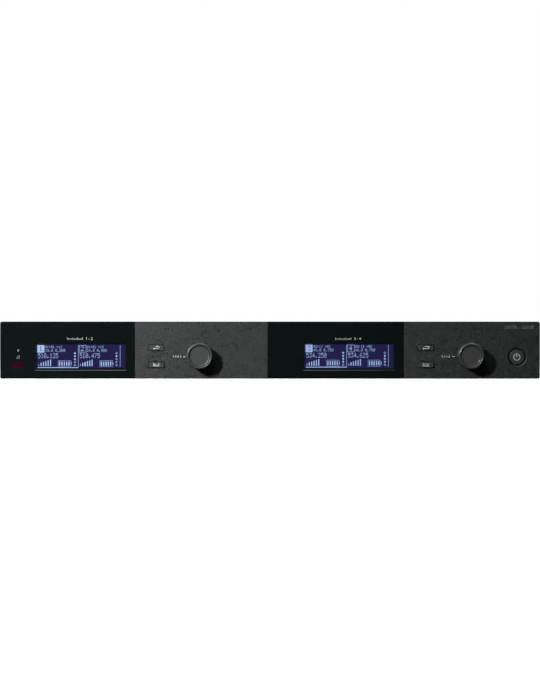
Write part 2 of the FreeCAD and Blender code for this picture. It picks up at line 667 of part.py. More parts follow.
def front_panel():
    body = new_body("front_panel")
    slab(body, "XZ", FRONT, BEZEL_BACK, rectangle(LEFT, "0", RIGHT, "body_height", "corner_radius"))
    cut(body, "XZ", BEZEL_BACK, WALL_BACK, rectangle(
        f"({LEFT} + bezel_wall)", "bezel_wall", f"({RIGHT} - bezel_wall)",
        "(body_height - bezel_wall)"))
    slab(body, "XZ", WALL_BACK, BEZEL_BACK, *[circle(x, z, "boss_radius") for x, z in BOSSES])
    slab(body, "XZ", WALL_BACK, BOARD_FRONT, *[circle(x, z, "boss_radius") for x, z in POSTS])
    cut(body, "XZ", FRONT, WINDOW_BACK,
        rectangle(f"({LEFT} - 1)", "-1", f"({LEFT_WINDOW_END} + window_gap)", "(body_height + 1)"),
        rectangle("(middle_x - window_gap)", "-1", f"({RIGHT_WINDOW_END} + window_gap)",
                  "(body_height + 1)"))
    cut(body, "XZ", WINDOW_BACK, WALL_BACK,
        *[display_recess(side, "glass_margin + glass_gap") for side in DISPLAYS],
        around(IR_X, "ir_z", "(ir_width - 2 * ir_ledge)", "(ir_height - 2 * ir_ledge)"))
    openings = cut(body, "XZ", FRONT, WALL_BACK,
        *[key_opening(side, z) for side in KEYS for z in ("exit_z", "sync_z")],
        *[circle(x, "knob_z", "(bushing_radius + bushing_gap)") for x in KNOBS.values()],
        circle(POWER_X, "power_z", "(power_radius + power_gap)"))
    face, ring = value(FRONT), value("power_radius + power_gap")
    soft = round_edges(body, openings, lambda edge: is_ring(edge, ring, face), "power_round")
    round_edges(body, soft, lambda edge: is_field_edge(edge, face), "edge_round")
    cut(body, "XZ", BEZEL_BACK, f"({BEZEL_BACK} - boss_hole_depth)",
        *[circle(x, z, SCREW_HOLE) for x, z in BOSSES])
    cut(body, "XZ", BOARD_FRONT, f"({BOARD_FRONT} - post_hole_depth)",
        *[circle(x, z, SCREW_HOLE) for x, z in POSTS])
    keep(body)


def is_ring(edge, radius, y):
    """Whether an edge is a circle of that radius, at that depth."""
    curve = edge.Curve
    round_one = isinstance(curve, Part.Circle) and abs(curve.Radius - radius) < 1e-6
    return round_one and abs(edge.BoundBox.YMin - y) < 1e-6 and abs(edge.BoundBox.YMax - y) < 1e-6


def is_field_edge(edge, y):
    """Whether an edge bounds a control field from outside, on the control face."""
    box = edge.BoundBox
    on_face = abs(box.YMin - y) < 1e-6 and abs(box.YMax - y) < 1e-6
    outline = (0, value("body_height"))
    flat = box.ZLength < 1e-6 and min(abs(box.ZMin - z) for z in outline) < 1e-6
    upright = box.ZLength > value("body_height / 2")
    corner = isinstance(edge.Curve, Part.Circle) and abs(
        edge.Curve.Radius - value("corner_radius")) < 1e-6
    return on_face and (flat or upright or corner)


def window(side, left, right, rounded):
    """A glossy window plate with a bevelled display recess. The left one has rounded corners."""
    body = new_body(f"window_{side}")
    if rounded:
        outline = [
            (f"{left} + corner_radius", "0"), (right, "0"), (right, "body_height"),
            (f"{left} + corner_radius", "body_height", "corner_radius"),
            (left, "body_height - corner_radius"), (left, "corner_radius", "corner_radius"),
        ]
    else:
        outline = rectangle(left, "0", right, "body_height")
    slab(body, "XZ", WINDOW_FRONT, WINDOW_BACK, outline)
    bevel = body.newObject("PartDesign::SubtractiveLoft", f"{body.Label}_bevel")
    x = DISPLAYS[side]
    mouth = rectangle(
        f"({x} - display_width / 2 - bevel_side)", "(display_z - display_height / 2 - bevel_bottom)",
        f"({x} + display_width / 2 + bevel_side)", "(display_z + display_height / 2 + bevel_top)")
    bevel.Profile = new_sketch(body, "XZ", WINDOW_FRONT, [mouth])
    bevel.Sections = [
        new_sketch(body, "XZ", f"({WINDOW_FRONT} + bevel_depth)", [display_recess(side)])]
    bevel.Ruled = True
    cut(body, "XZ", f"({WINDOW_FRONT} + bevel_depth)", WINDOW_BACK, display_recess(side))
    if rounded:
        cut(body, "XZ", WINDOW_FRONT, WINDOW_BACK, around(
            IR_X, "ir_z", "(ir_width + 2 * ir_gap)", "(ir_height + 2 * ir_gap)",
            "(ir_corner + ir_gap)"))
    keep(body)


def displays():
    frames = []
    for side in DISPLAYS:
        glass = new_body(f"display_glass_{side}")
        slab(glass, "XZ", WINDOW_BACK, WALL_BACK, display_recess(side, "glass_margin"))
        keep(glass)
        frame = new_body(f"display_frame_{side}")
        slab(frame, "XZ", WALL_BACK, BOARD_FRONT, display_recess(side, "glass_margin + frame_margin"))
        cut(frame, "XZ", WALL_BACK, f"({WALL_BACK} + lamp_depth)", display_recess(side, "lamp_margin"))
        frames.append(frame)
    collect("display_frames", frames)


def infrared_port():
    pane = new_body("ir_window")
    slab(pane, "XZ", f"({WINDOW_FRONT} + ir_sunk)", WINDOW_BACK,
         around(IR_X, "ir_z", "ir_width", "ir_height", "ir_corner"))
    keep(pane)
    diode = new_body("diode")
    slab(diode, "XZ", "0", "-diode_base_tall", around("0", "0", "diode_base", "diode_base"))
    turn(diode, [
        ("0", "-diode_base_tall"), ("diode_radius", "-diode_base_tall"),
        ("diode_radius", "-diode_tall + diode_radius", "-diode_radius"), ("0", "-diode_tall"),
    ])
    copies("ir_diodes", diode, [
        (f"{IR_X} + {side} * diode_pitch / 2", BOARD_FRONT, "ir_z", NO_TURN) for side in (-1, 1)])


# Keys, power button and their switches


def key(label, x, z):
    """A key cap with its flange and stem. Its own origin lies on the control face."""
    body = new_body(label)
    slab(body, "XZ", "-key_proud", KEY_FLANGE_FRONT,
         around("0", "0", "key_width", "key_height", "key_corner"))
    slab(body, "XZ", KEY_FLANGE_FRONT, f"{KEY_FLANGE_FRONT} + key_flange",
         around("0", "0", "key_width + 2 * (key_gap + key_flange)",
                "key_height + 2 * (key_gap + key_flange)"))
    slab(body, "XZ", f"{KEY_FLANGE_FRONT} + key_flange", STEM_END, circle("0", "0", "stem_radius"))
    keep(place(body, x, FRONT, z))


def power_button():
    body = new_body("power_button")
    slab(body, "XZ", "power_sunk", KEY_FLANGE_FRONT, circle("0", "0", "power_radius"))
    slab(body, "XZ", KEY_FLANGE_FRONT, f"{KEY_FLANGE_FRONT} + key_flange",
         circle("0", "0", "power_radius + power_gap + key_flange"))
    slab(body, "XZ", f"{KEY_FLANGE_FRONT} + key_flange", STEM_END, circle("0", "0", "stem_radius"))
    keep(place(body, POWER_X, FRONT, "power_z"))


def button_switches():
    switch = new_body("switch")
    slab(switch, "XZ", "0", "-switch_tall", around("0", "0", "switch_size", "switch_size"))
    cut(switch, "XZ", "-switch_tall", "-switch_tall + stem_in + key_travel + switch_bore_spare",
        circle("0", "0", "stem_radius + stem_gap"))
    spots = [(KEYS[side], BOARD_FRONT, z, NO_TURN) for side in KEYS for z in ("exit_z", "sync_z")]
    copies("button_switches", switch, spots + [(POWER_X, BOARD_FRONT, "power_z", NO_TURN)])


# Dials and their encoders


def knob(side):
    """A dial with a dished face. Its own origin lies on the control face."""
    body = new_body(f"knob_{side}")
    back, rim = "-knob_gap", "(-knob_gap - knob_length)"
    dish_edge = "(knob_radius - knob_edge - knob_rim)"
    turn(body, [
        ("0", f"{rim} + dish_depth"),
        ("dish_radius", f"{rim} + dish_depth"),
        (dish_edge, rim),
        ("knob_radius - knob_edge", rim, "knob_edge"),
        ("knob_radius", f"{rim} + knob_edge"),
        ("knob_radius", back),
        ("knob_radius - knob_wall", back),
        ("knob_radius - knob_wall", f"{back} - knob_hollow"),
        ("hub_radius", f"{back} - knob_hollow"),
        ("hub_radius", back),
        ("0", back),
    ])
    cut(body, "XZ", back, f"{back} - knob_bore", circle("0", "0", "shaft_radius"))
    keep(place(body, KNOBS[side], FRONT, "knob_z"))


def encoder(side):
    """The case with its bushing, the turning shaft and the plunger of the push switch."""
    case_front = "(front_board_in - encoder_tall)"
    shaft_end = f"({case_front} + shaft_in)"
    case = new_body(f"encoder_body_{side}")
    slab(case, "XZ", "front_board_in", case_front,
         around("0", "0", "encoder_width", "encoder_height"))
    slab(case, "XZ", case_front, "bushing_sunk", circle("0", "0", "bushing_radius"))
    cut(case, "XZ", "bushing_sunk", "front_board_in - encoder_floor",
        circle("0", "0", "shaft_radius + shaft_gap"))
    shaft = new_body(f"encoder_shaft_{side}")
    slab(shaft, "XZ", "-knob_gap - knob_bore", shaft_end, circle("0", "0", "shaft_radius"))
    plunger = new_body(f"encoder_plunger_{side}")
    slab(plunger, "XZ", f"{shaft_end} + plunger_gap", f"{shaft_end} + plunger_gap + plunger_thick",
         circle("0", "0", "shaft_radius"))
    for body in (case, shaft, plunger):
        keep(place(body, KNOBS[side], FRONT, "knob_z"))


# Control board and ribbon cables


def front_board():
    body = new_body("front_board")
    inset = "bezel_wall + front_board_gap"
    slab(body, "XZ", BOARD_FRONT, BOARD_BACK, rectangle(
        f"{LEFT} + {inset}", inset, f"{RIGHT} - ({inset})", f"body_height - ({inset})"))
    cut(body, "XZ", BOARD_FRONT, BOARD_BACK,
        *[circle(x, z, "boss_radius + boss_gap") for x, z in BOSSES])
    cut(body, "XZ", BOARD_FRONT, BOARD_BACK, *[circle(x, z, SCREW_HOLE) for x, z in POSTS])
    keep(body)


def ribbon_cables():
    """Flat cables from the control board, bent down to the receiver board."""
    ribbons = []
    land = f"({BOARDS_FRONT} + ribbon_land)"
    top, under = "(ribbon_z + ribbon_thick)", "ribbon_z"
    inner = "(ribbon_bend - ribbon_thick)"
    for side, x in (("left", f"({LEFT} + ribbon_left)"), ("right", "(middle_x + ribbon_right)")):
        body = new_body(f"ribbon_{side}")
        slab(body, "YZ", f"{x} - ribbon_width / 2", f"{x} + ribbon_width / 2", [
            (BOARD_BACK, under),
            (f"{land} - {inner}", under, f"-{inner}"),
            (land, f"{under} - {inner}"),
            (land, BOARD_TOP),
            (f"{land} + ribbon_thick", BOARD_TOP),
            (f"{land} + ribbon_thick", f"{top} - ribbon_bend", "ribbon_bend"),
            (f"{land} + ribbon_thick - ribbon_bend", top),
            (BOARD_BACK, top),
        ])
        ribbons.append(body)
    collect("ribbon_cables", ribbons)


# Steel housing


def chassis_tray():
    body = new_body("chassis_tray")
    slab(body, "XY", "0", COVER_UNDER, rectangle(STEEL_LEFT, BEZEL_BACK, STEEL_RIGHT, REAR_INNER))
    cut(body, "XY", COVER_UNDER, "sheet_wall", rectangle(
        f"({STEEL_LEFT} + sheet_wall)", f"({BEZEL_BACK} + sheet_wall)",
        f"({STEEL_RIGHT} - sheet_wall)", FLANGE_FRONT))
    cut(body, "XZ", REAR_INNER, FLANGE_FRONT, rectangle(
        f"({STEEL_LEFT} + sheet_wall + flange_width)", "rear_lip",
        f"({STEEL_RIGHT} - sheet_wall - flange_width)", f"({COVER_UNDER} + 1)"))
    front_wall = (BEZEL_BACK, f"({BEZEL_BACK} + sheet_wall)")
    cut(body, "XZ", *front_wall, rectangle(
        f"({LEFT} + pass_side)", "pass_bottom", f"({RIGHT} - pass_side)",
        f"({STEEL_TOP} - pass_top)"))
    cut(body, "XZ", *front_wall, *[circle(x, z, SCREW_HOLE) for x, z in BOSSES])
    cut(body, "XZ", REAR_INNER, FLANGE_FRONT, *[circle(x, z, SCREW_HOLE) for x, z in REAR_SCREWS])
    across = (f"({STEEL_LEFT} - 1)", f"({STEEL_RIGHT} + 1)")
    cut(body, "YZ", *across, *[
        circle(f"({BEZEL_BACK} + ear_hole_in + {along} * ear_spacing_y)",
               f"(ear_z + {up} * ear_spacing_z / 2)", "ear_hole_radius")
        for along in (0, 1) for up in (-1, 1)])
    slot = cut(body, "YZ", *across, around(
        f"({REAR_INNER} - vent_in - (vent_count - 1) * vent_pitch)", "ear_z",
        "vent_width", "vent_height"))
    vents = body.newObject("PartDesign::LinearPattern", "chassis_tray_vents")
    vents.Originals = [slot]
    vents.Direction = (slot.Profile[0], ["H_Axis"])
    bind(vents, Length="(vent_count - 1) * vent_pitch", Occurrences="vent_count")
    body.Tip = vents
    for face, inward in ((STEEL_LEFT, True), (STEEL_RIGHT, False)):
        countersinks(body, face, inward)
    keep(body)


def countersinks(body, face, inward):
    """The cover screws' countersunk holes in one side of the tray."""
    spots = [circle(y, "cover_screw_z", SCREW_HOLE) for y in COVER_SCREWS]
    sketch = new_sketch(body, "YZ", face, spots)
    doc.recompute()
    hole = body.newObject("PartDesign::Hole", f"{body.Label}_countersinks")
    hole.Profile = sketch
    hole.Reversed = inward
    hole.DepthType = "Dimension"
    hole.DrillPoint = "Flat"
    hole.HoleCutType = "Countersink"
    hole.HoleCutCustomValues = True
    hole.HoleCutCountersinkAngle = 90
    bind(hole, Diameter=f"2 * {SCREW_HOLE}", Depth="sheet_wall + lip_gap",
         HoleCutDiameter=f"2 * ({SCREW_HOLE} + sheet_wall)")
    body.Tip = hole


def top_cover():
    body = new_body("top_cover")
    slab(body, "XY", COVER_UNDER, STEEL_TOP, rectangle(STEEL_LEFT, BEZEL_BACK, STEEL_RIGHT, REAR))
    lip_ends = (f"({BEZEL_BACK} + sheet_wall + lip_end_gap)", f"({FLANGE_FRONT} - lip_end_gap)")
    outer = "sheet_wall + lip_gap"
    slab(body, "XY", COVER_UNDER, f"{COVER_UNDER} - lip_height",
         rectangle(f"({STEEL_LEFT} + {outer})", lip_ends[0],
                   f"({STEEL_LEFT} + {outer} + sheet_wall)", lip_ends[1]),
         rectangle(f"({STEEL_RIGHT} - ({outer}) - sheet_wall)", lip_ends[0],
                   f"({STEEL_RIGHT} - ({outer}))", lip_ends[1]))
    cut(body, "YZ", STEEL_LEFT, STEEL_RIGHT,
        *[circle(y, "cover_screw_z", SCREW_HOLE) for y in COVER_SCREWS])
    keep(body)


def rear_panel():
    body = new_body("rear_panel")
    slab(body, "XZ", REAR, REAR_INNER, rectangle(STEEL_LEFT, "0", STEEL_RIGHT, COVER_UNDER))
    cut(body, "XZ", REAR, REAR_INNER,
        *[circle(x, "rear_z", "(xlr_radius + panel_gap)") for x in OUTPUTS],
        *[circle(x, "rear_z", "(jack_thread + nut_gap)") for x in JACKS],
        *[circle(x, "rear_z", "(bnc_thread + nut_gap)") for x in ANTENNAS.values()],
        around(INLET_X, "rear_z", "inlet_width + 2 * panel_gap", "inlet_height + 2 * panel_gap"),
        around(NETWORK_X, NETWORK_Z, "network_width + 2 * panel_gap",
               "network_height + 2 * panel_gap"))
    cut(body, "XZ", REAR, REAR_INNER,
        *[circle(x, z, SCREW_HOLE) for x, z in REAR_SCREWS + XLR_SCREWS + INLET_SCREWS])
    keep(body)


def screws():
    """Pan screws for the panels, sockets and boards, countersunk ones for the cover."""
    pan = new_body("pan_screw")
    turn(pan, [
        ("0", "-screw_length"), ("screw_radius", "-screw_length"), ("screw_radius", "0"),
        ("head_radius", "0"), ("head_radius", "head_thick / 2"),
        ("head_radius - head_thick / 2", "head_thick"), ("0", "head_thick"),
    ])
    cross_recess(pan, "head_thick")
    flush = new_body("flush_screw")
    turn(flush, [
        ("0", "-screw_length"), ("screw_radius", "-screw_length"),
        ("screw_radius", "-sheet_wall"), ("screw_radius + sheet_wall", "0"), ("0", "0"),
    ])
    cross_recess(flush, "0")
    copies("front_screws", pan, [
        (x, f"{BEZEL_BACK} + sheet_wall", z, NO_TURN) for x, z in BOSSES])
    copies("rear_screws", pan,
           [(x, REAR, z, NO_TURN) for x, z in REAR_SCREWS]
           + [(x, f"{REAR} + xlr_flange_thick", z, NO_TURN) for x, z in XLR_SCREWS]
           + [(x, f"{REAR} + inlet_flange_thick", z, NO_TURN) for x, z in INLET_SCREWS])
    copies("cover_screws", flush, [
        (x, y, "cover_screw_z", rotation) for y in COVER_SCREWS
        for x, rotation in ((STEEL_LEFT, HEAD_LEFT), (STEEL_RIGHT, HEAD_RIGHT))])
    copies("board_screws", pan,
           [(x, y, BOARD_TOP, HEAD_UP) for x, y in STANDOFFS]
           + [(x, BOARD_BACK, z, NO_TURN) for x, z in POSTS])


def cross_recess(body, face):
    wide, far = "slot_width / 2", "slot_reach"
    cut(body, "XZ", face, f"{face} - slot_depth", [
        (f"-{far}", f"-{wide}"), (f"-{wide}", f"-{wide}"), (f"-{wide}", f"-{far}"),
        (wide, f"-{far}"), (wide, f"-{wide}"), (far, f"-{wide}"),
        (far, wide), (wide, wide), (wide, far),
        (f"-{wide}", far), (f"-{wide}", wide), (f"-{far}", wide),
    ])


# Rear sockets. Each one's own origin lies on the housing's rear face.


def balanced_outputs():
    for number, x in enumerate(OUTPUTS, start=1):
        shell = new_body(f"xlr_shell_{number}")
        slab(shell, "XZ", "0", "xlr_flange_thick",
             around("0", "0", "xlr_flange_width", "xlr_flange_height", "xlr_corner"))
        slab(shell, "XZ", "0", "-xlr_depth", circle("0", "0", "xlr_radius"))
        cut(shell, "XZ", "xlr_flange_thick", "-xlr_depth", circle("0", "0", "xlr_bore"))
        cut(shell, "XZ", "xlr_flange_thick", "xlr_flange_thick - xlr_notch_depth", rectangle(
            "-xlr_notch_width / 2", "0", "xlr_notch_width / 2", "xlr_bore + xlr_notch_rise"))
        cut(shell, "XZ", "xlr_flange_thick", "0", *[
            circle(f"{side} * xlr_screw_x", f"-{side} * xlr_screw_z", SCREW_HOLE)
            for side in (-1, 1)])
        keep(place(shell, x, REAR, "rear_z"))
    pin_reach = "sqrt(xlr_pin_circle ^ 2 - xlr_pin_rise ^ 2)"
    pins = [(f"-{pin_reach}", "xlr_pin_rise"), (pin_reach, "xlr_pin_rise"), ("0", "-xlr_pin_circle")]
    floor = "(xlr_flange_thick - xlr_cup)"
    insert = new_body("insert")
    slab(insert, "XZ", floor, f"{floor} - xlr_insert_thick", circle("0", "0", "xlr_bore - xlr_fit"))
    cut(insert, "XZ", floor, f"{floor} - xlr_insert_thick",
        *[circle(px, pz, "xlr_pin_radius + xlr_fit") for px, pz in pins])
    pin = new_body("pin")
    tip = "(xlr_flange_thick - xlr_pin_sunk)"
    turn(pin, [
        ("0", f"{floor} - xlr_insert_thick - xlr_tail"),
        ("xlr_pin_radius", f"{floor} - xlr_insert_thick - xlr_tail"),
        ("xlr_pin_radius", f"{tip} - xlr_pin_radius", "xlr_pin_radius"),
        ("0", tip),
    ])
    copies("xlr_inserts", insert, [(x, REAR, "rear_z", NO_TURN) for x in OUTPUTS])
    copies("xlr_pins", pin, [
        (f"{x} + ({px})", REAR, f"rear_z + ({pz})", NO_TURN) for x in OUTPUTS for px, pz in pins])


def jack_outputs():
    for number, x in enumerate(JACKS, start=1):
        body = new_body(f"jack_socket_{number}")
        slab(body, "XZ", "-sheet_wall", "-sheet_wall - jack_depth",
             around("0", "0", "jack_width", "jack_height"))
        slab(body, "XZ", "-sheet_wall", "jack_proud", circle("0", "0", "jack_thread"))
        cut(body, "XZ", "jack_proud", "-sheet_wall - jack_depth + jack_floor",
            circle("0", "0", "jack_bore"))
        keep(place(body, x, REAR, "rear_z"))
    nut = new_body("jack_nut")
    slab(nut, "XZ", "0", "jack_nut_thick", hexagon("0", "0", "jack_nut_flats"),
         circle("0", "0", "jack_thread + nut_gap"))
    copies("jack_nuts", nut, [(x, REAR, "rear_z", NO_TURN) for x in JACKS])


def antenna_sockets():
    for label, x in ANTENNAS.items():
        body = new_body(label)
        flange_front = "(-sheet_wall - bnc_flange_thick)"
        turn(body, [
            ("0", f"{flange_front} - bnc_tail_length"),
            ("bnc_tail", f"{flange_front} - bnc_tail_length"),
            ("bnc_tail", flange_front),
            ("bnc_flange", flange_front),
            ("bnc_flange", "-sheet_wall"),
            ("bnc_thread", "-sheet_wall"),
            ("bnc_thread", "bnc_neck"),
            ("bnc_barrel", "bnc_neck"),
            ("bnc_barrel", "bnc_proud"),
            ("0", "bnc_proud"),
        ])
        slab(body, "YZ", "-bnc_lug_reach", "bnc_lug_reach", circle("bnc_lug_y", "0", "bnc_lug"))
        cut(body, "XZ", "bnc_proud", "bnc_cavity_floor", circle("0", "0", "bnc_cavity"))
        keep(place(body, x, REAR, "rear_z"))
    sleeve = new_body("sleeve")
    slab(sleeve, "XZ", "bnc_cavity_floor", "sleeve_proud", circle("0", "0", "sleeve_radius"),
         circle("0", "0", "contact_radius + contact_gap"))
    contact = new_body("contact")
    slab(contact, "XZ", "bnc_cavity_floor", "contact_proud", circle("0", "0", "contact_radius"),
         circle("0", "0", "contact_bore"))
    nut = new_body("antenna_nut")
    slab(nut, "XZ", "0", "bnc_nut_thick", hexagon("0", "0", "bnc_nut_flats"),
         circle("0", "0", "bnc_thread + nut_gap"))
    for label, source in (("antenna_insulators", sleeve), ("antenna_contacts", contact),
                          ("antenna_nuts", nut)):
        copies(label, source, [(x, REAR, "rear_z", NO_TURN) for x in ANTENNAS.values()])


def mains_inlet():
    body = new_body("power_inlet")
    slab(body, "XZ", "0", "inlet_flange_thick",
         around("0", "0", "inlet_flange_width", "inlet_flange_height", "xlr_corner"))
    slab(body, "XZ", "0", "-inlet_depth", around("0", "0", "inlet_width", "inlet_height"))
    wide, tall, bevel = "inlet_cup_width / 2", "inlet_cup_height / 2", "inlet_cup_bevel"
    cut(body, "XZ", "inlet_flange_thick", "inlet_flange_thick - inlet_cup_depth", [
        (f"-{wide}", f"-{tall}"), (wide, f"-{tall}"), (wide, f"{tall} - {bevel}"),
        (f"{wide} - {bevel}", tall), (f"-{wide} + {bevel}", tall), (f"-{wide}", f"{tall} - {bevel}"),
    ])
    blades = [("-blade_x", "blade_low"), ("blade_x", "blade_low"), ("0", "blade_high")]
    floor = "(inlet_flange_thick - inlet_cup_depth)"
    cut(body, "XZ", floor, "-inlet_depth", *[
        around(x, z, "blade_thick + 2 * xlr_fit", "blade_width + 2 * xlr_fit") for x, z in blades])
    cut(body, "XZ", "inlet_flange_thick", "0", *[
        circle(f"{side} * inlet_screw_x", "0", SCREW_HOLE) for side in (-1, 1)])
    keep(place(body, INLET_X, REAR, "rear_z"))
    blade = new_body("blade")
    slab(blade, "XZ", f"{floor} + blade_proud", "-inlet_depth - blade_tail",
         around("0", "0", "blade_thick", "blade_width"))
    copies("power_inlet_pins", blade, [
        (f"{INLET_X} + ({x})", REAR, f"rear_z + ({z})", NO_TURN) for x, z in blades])
    return blades


def network_socket():
    body = new_body("network_socket")
    slab(body, "XZ", "network_proud", "-network_depth",
         around("0", "0", "network_width", "network_height"))
    ports = []
    for side in (-1, 1):
        x, low = f"({side} * port_x)", "-port_drop"
        wide, latch = "port_width / 2", "latch_width / 2"
        ports.append([
            (f"{x} - {latch}", f"{low} - latch_drop"), (f"{x} + {latch}", f"{low} - latch_drop"),
            (f"{x} + {latch}", low), (f"{x} + {wide}", low),
            (f"{x} + {wide}", f"{low} + port_height"), (f"{x} - {wide}", f"{low} + port_height"),
            (f"{x} - {wide}", low), (f"{x} - {latch}", low),
        ])
    cut(body, "XZ", "network_proud", "network_proud - port_depth", *ports)
    keep(place(body, NETWORK_X, REAR, NETWORK_Z))


# Inside the housing


def boards():
    for label, left, right, rear in (
        ("main_board", MAIN_LEFT, MAIN_RIGHT, MAIN_REAR),
        ("supply_board", SUPPLY_LEFT, SUPPLY_RIGHT, SUPPLY_REAR),
    ):
        body = new_body(label)
        slab(body, "XY", BOARD_UNDER, BOARD_TOP, rectangle(left, BOARDS_FRONT, right, rear))
        cut(body, "XY", BOARD_UNDER, BOARD_TOP, *[
            circle(x, y, SCREW_HOLE) for x, y in STANDOFFS
            if value(left) < value(x) < value(right)])
        keep(body)
    standoff = new_body("standoff")
    slab(standoff, "XY", "0", "standoff_tall", hexagon("0", "0", "standoff_flats"),
         circle("0", "0", SCREW_HOLE))
    copies("board_standoffs", standoff, [(x, y, "sheet_wall", NO_TURN) for x, y in STANDOFFS])


def box(name, length, width, height, x, y, z):
    """A block bound to the sheet, by its lowest corner."""
    block = doc.addObject("Part::Box", name)
    bind(block, Length=length, Width=width, Height=height)
    return place(block, x, y, z)


def tuner_shields():
    """Folded cans with open undersides, one to each channel."""
    cans = []
    for number, x in enumerate(OUTPUTS, start=1):
        y = f"{REAR} - can_rear_gap - can_length"
        outer = box(f"can_{number}", "can_width", "can_length", "can_tall",
                    f"{x} - can_width / 2", y, BOARD_TOP)
        inner = box(f"can_inside_{number}", "can_width - 2 * can_wall", "can_length - 2 * can_wall",
                    "can_tall - can_wall", f"{x} - can_width / 2 + can_wall", f"{y} + can_wall",
                    BOARD_TOP)
        can = doc.addObject("Part::Cut", f"tuner_shield_{number}")
        can.Base, can.Tool = outer, inner
        cans.append(can)
    collect("tuner_shields", cans)


def supply_parts():
    x, y = f"({SUPPLY_LEFT} + core_in)", f"({SUPPLY_REAR} - core_rear)"
    core = box("core", "core_width", "core_length", "core_tall",
               f"{x} - core_width / 2", f"{y} - core_length / 2", BOARD_TOP)
    coil = box("coil", "core_width - 2 * coil_inset", "core_length + 2 * coil_margin",
               "core_tall - coil_inset", f"{x} - core_width / 2 + coil_inset",
               f"{y} - core_length / 2 - coil_margin", BOARD_TOP)
    transformer = doc.addObject("Part::MultiFuse", "supply_transformer")
    transformer.Shapes = [core, coil]
    keep(transformer)
    capacitors = []
    for number in range(3):
        can = doc.addObject("Part::Cylinder", f"capacitor_{number + 1}")
        bind(can, Radius="cap_radius", Height="cap_tall")
        place(can, f"{SUPPLY_LEFT} + cap_in", f"{SUPPLY_REAR} - cap_rear - {number} * cap_pitch",
              BOARD_TOP)
        doc.recompute()
        rounded = doc.addObject("Part::Fillet", f"rounded_{number + 1}")
        rounded.Base = can
        top = value(f"{BOARD_TOP} + cap_tall")
        rounded.Edges = [
            (n, value("cap_edge"), value("cap_edge"))
            for n, edge in enumerate(can.Shape.Edges, start=1)
            if abs(edge.BoundBox.ZMin - top) < 1e-6]
        capacitors.append(rounded)
    collect("supply_capacitors", capacitors)
    sink = new_body("supply_heatsink")
    right, rear = f"({SUPPLY_RIGHT} - sink_in)", f"({SUPPLY_REAR} - sink_rear)"
    slab(sink, "XY", BOARD_TOP, f"{BOARD_TOP} + sink_tall",
         rectangle(f"{right} - sink_base", f"{rear} - sink_length", right, rear))
    fin = slab(sink, "XY", BOARD_TOP, f"{BOARD_TOP} + sink_tall", rectangle(
        right, f"{rear} - sink_length", f"{right} + fin_reach", f"{rear} - sink_length + fin_thick"))
    fins = sink.newObject("PartDesign::LinearPattern", "supply_heatsink_fins")
    fins.Originals = [fin]
    fins.Direction = (fin.Profile[0], ["V_Axis"])
    bind(fins, Length="sink_length - fin_thick", Occurrences="fin_count")
    sink.Tip = fins
    keep(sink)


def inner_wires(blades):
    """Antenna leads from the sockets to the receiver board, and mains wires to the supply."""
    tail = f"({REAR} - sheet_wall - bnc_flange_thick - bnc_tail_length)"
    leads = []
    for label in ("antenna_socket_a", "cascade_socket_a"):
        x, y = ANTENNAS[label], f"{tail} - lead_reach"
        leads.append(tube(f"lead_{label}", [
            (x, tail, "rear_z"), (x, y, "rear_z"), (x, y, BOARD_TOP)], "lead_radius", "lead_bend"))
    over = (("cascade_socket_b", "lead_cascade_y"), ("antenna_socket_b", "lead_antenna_y"))
    for number, (label, setback) in enumerate(over, start=1):
        x, y = ANTENNAS[label], f"{REAR} - {setback}"
        land = f"({MAIN_RIGHT} - {number} * lead_land)"
        leads.append(tube(f"lead_{label}", [
            (x, tail, "rear_z"), (x, y, "rear_z"), (x, y, "lead_over"),
            (land, y, "lead_over"), (land, y, BOARD_TOP)], "lead_radius", "lead_bend"))
    end = f"({REAR} - inlet_depth - blade_tail)"
    for number, (px, pz) in enumerate(blades, start=1):
        x, y, z = f"{INLET_X} + ({px})", f"{end} - wire_reach", f"rear_z + ({pz})"
        leads.append(tube(f"mains_wire_{number}", [(x, end, z), (x, y, z), (x, y, BOARD_TOP)],
                          "lead_radius", "lead_bend"))
    collect("inner_wires", leads)


def check_document():
    """Stops if any object failed, or if a cut took nothing away."""
    doc.recompute()
    for thing in doc.Objects:
        if {"Invalid", "Error"} & set(thing.State):
            raise RuntimeError(f"{thing.Name} is {thing.State}")
        if thing.TypeId in ("PartDesign::Pocket", "PartDesign::SubtractiveLoft", "PartDesign::Hole"):
            if thing.Shape.Volume >= thing.BaseFeature.Shape.Volume - 1e-6:
                raise RuntimeError(f"{thing.Name} cuts nothing")
    for piece in kept:
        if piece.Shape.isNull() or not piece.Shape.isValid():
            raise RuntimeError(f"{piece.Label} has no valid shape")


front_panel()
window("left", LEFT, LEFT_WINDOW_END, True)
window("right", "middle_x", RIGHT_WINDOW_END, False)
displays()
infrared_port()
for SIDE, KEY_X in KEYS.items():
    key(f"exit_button_{SIDE}", KEY_X, "exit_z")
    key(f"sync_button_{SIDE}", KEY_X, "sync_z")
    knob(SIDE)
    encoder(SIDE)
power_button()
button_switches()
front_board()
ribbon_cables()
chassis_tray()
top_cover()
rear_panel()
screws()
balanced_outputs()
jack_outputs()
antenna_sockets()
BLADES = mains_inlet()
network_socket()
boards()
tuner_shields()
supply_parts()
inner_wires(BLADES)
check_document()
os.makedirs("parts", exist_ok=True)
for PIECE in kept:
    PIECE.Shape.exportStep(f"parts/{PIECE.Label}.step")
print(f"{len(kept)} pieces written")
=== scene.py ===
import json
import math

import bmesh
import bpy
from bpy.props import FloatProperty, FloatVectorProperty, PointerProperty
from mathutils import Matrix, Vector


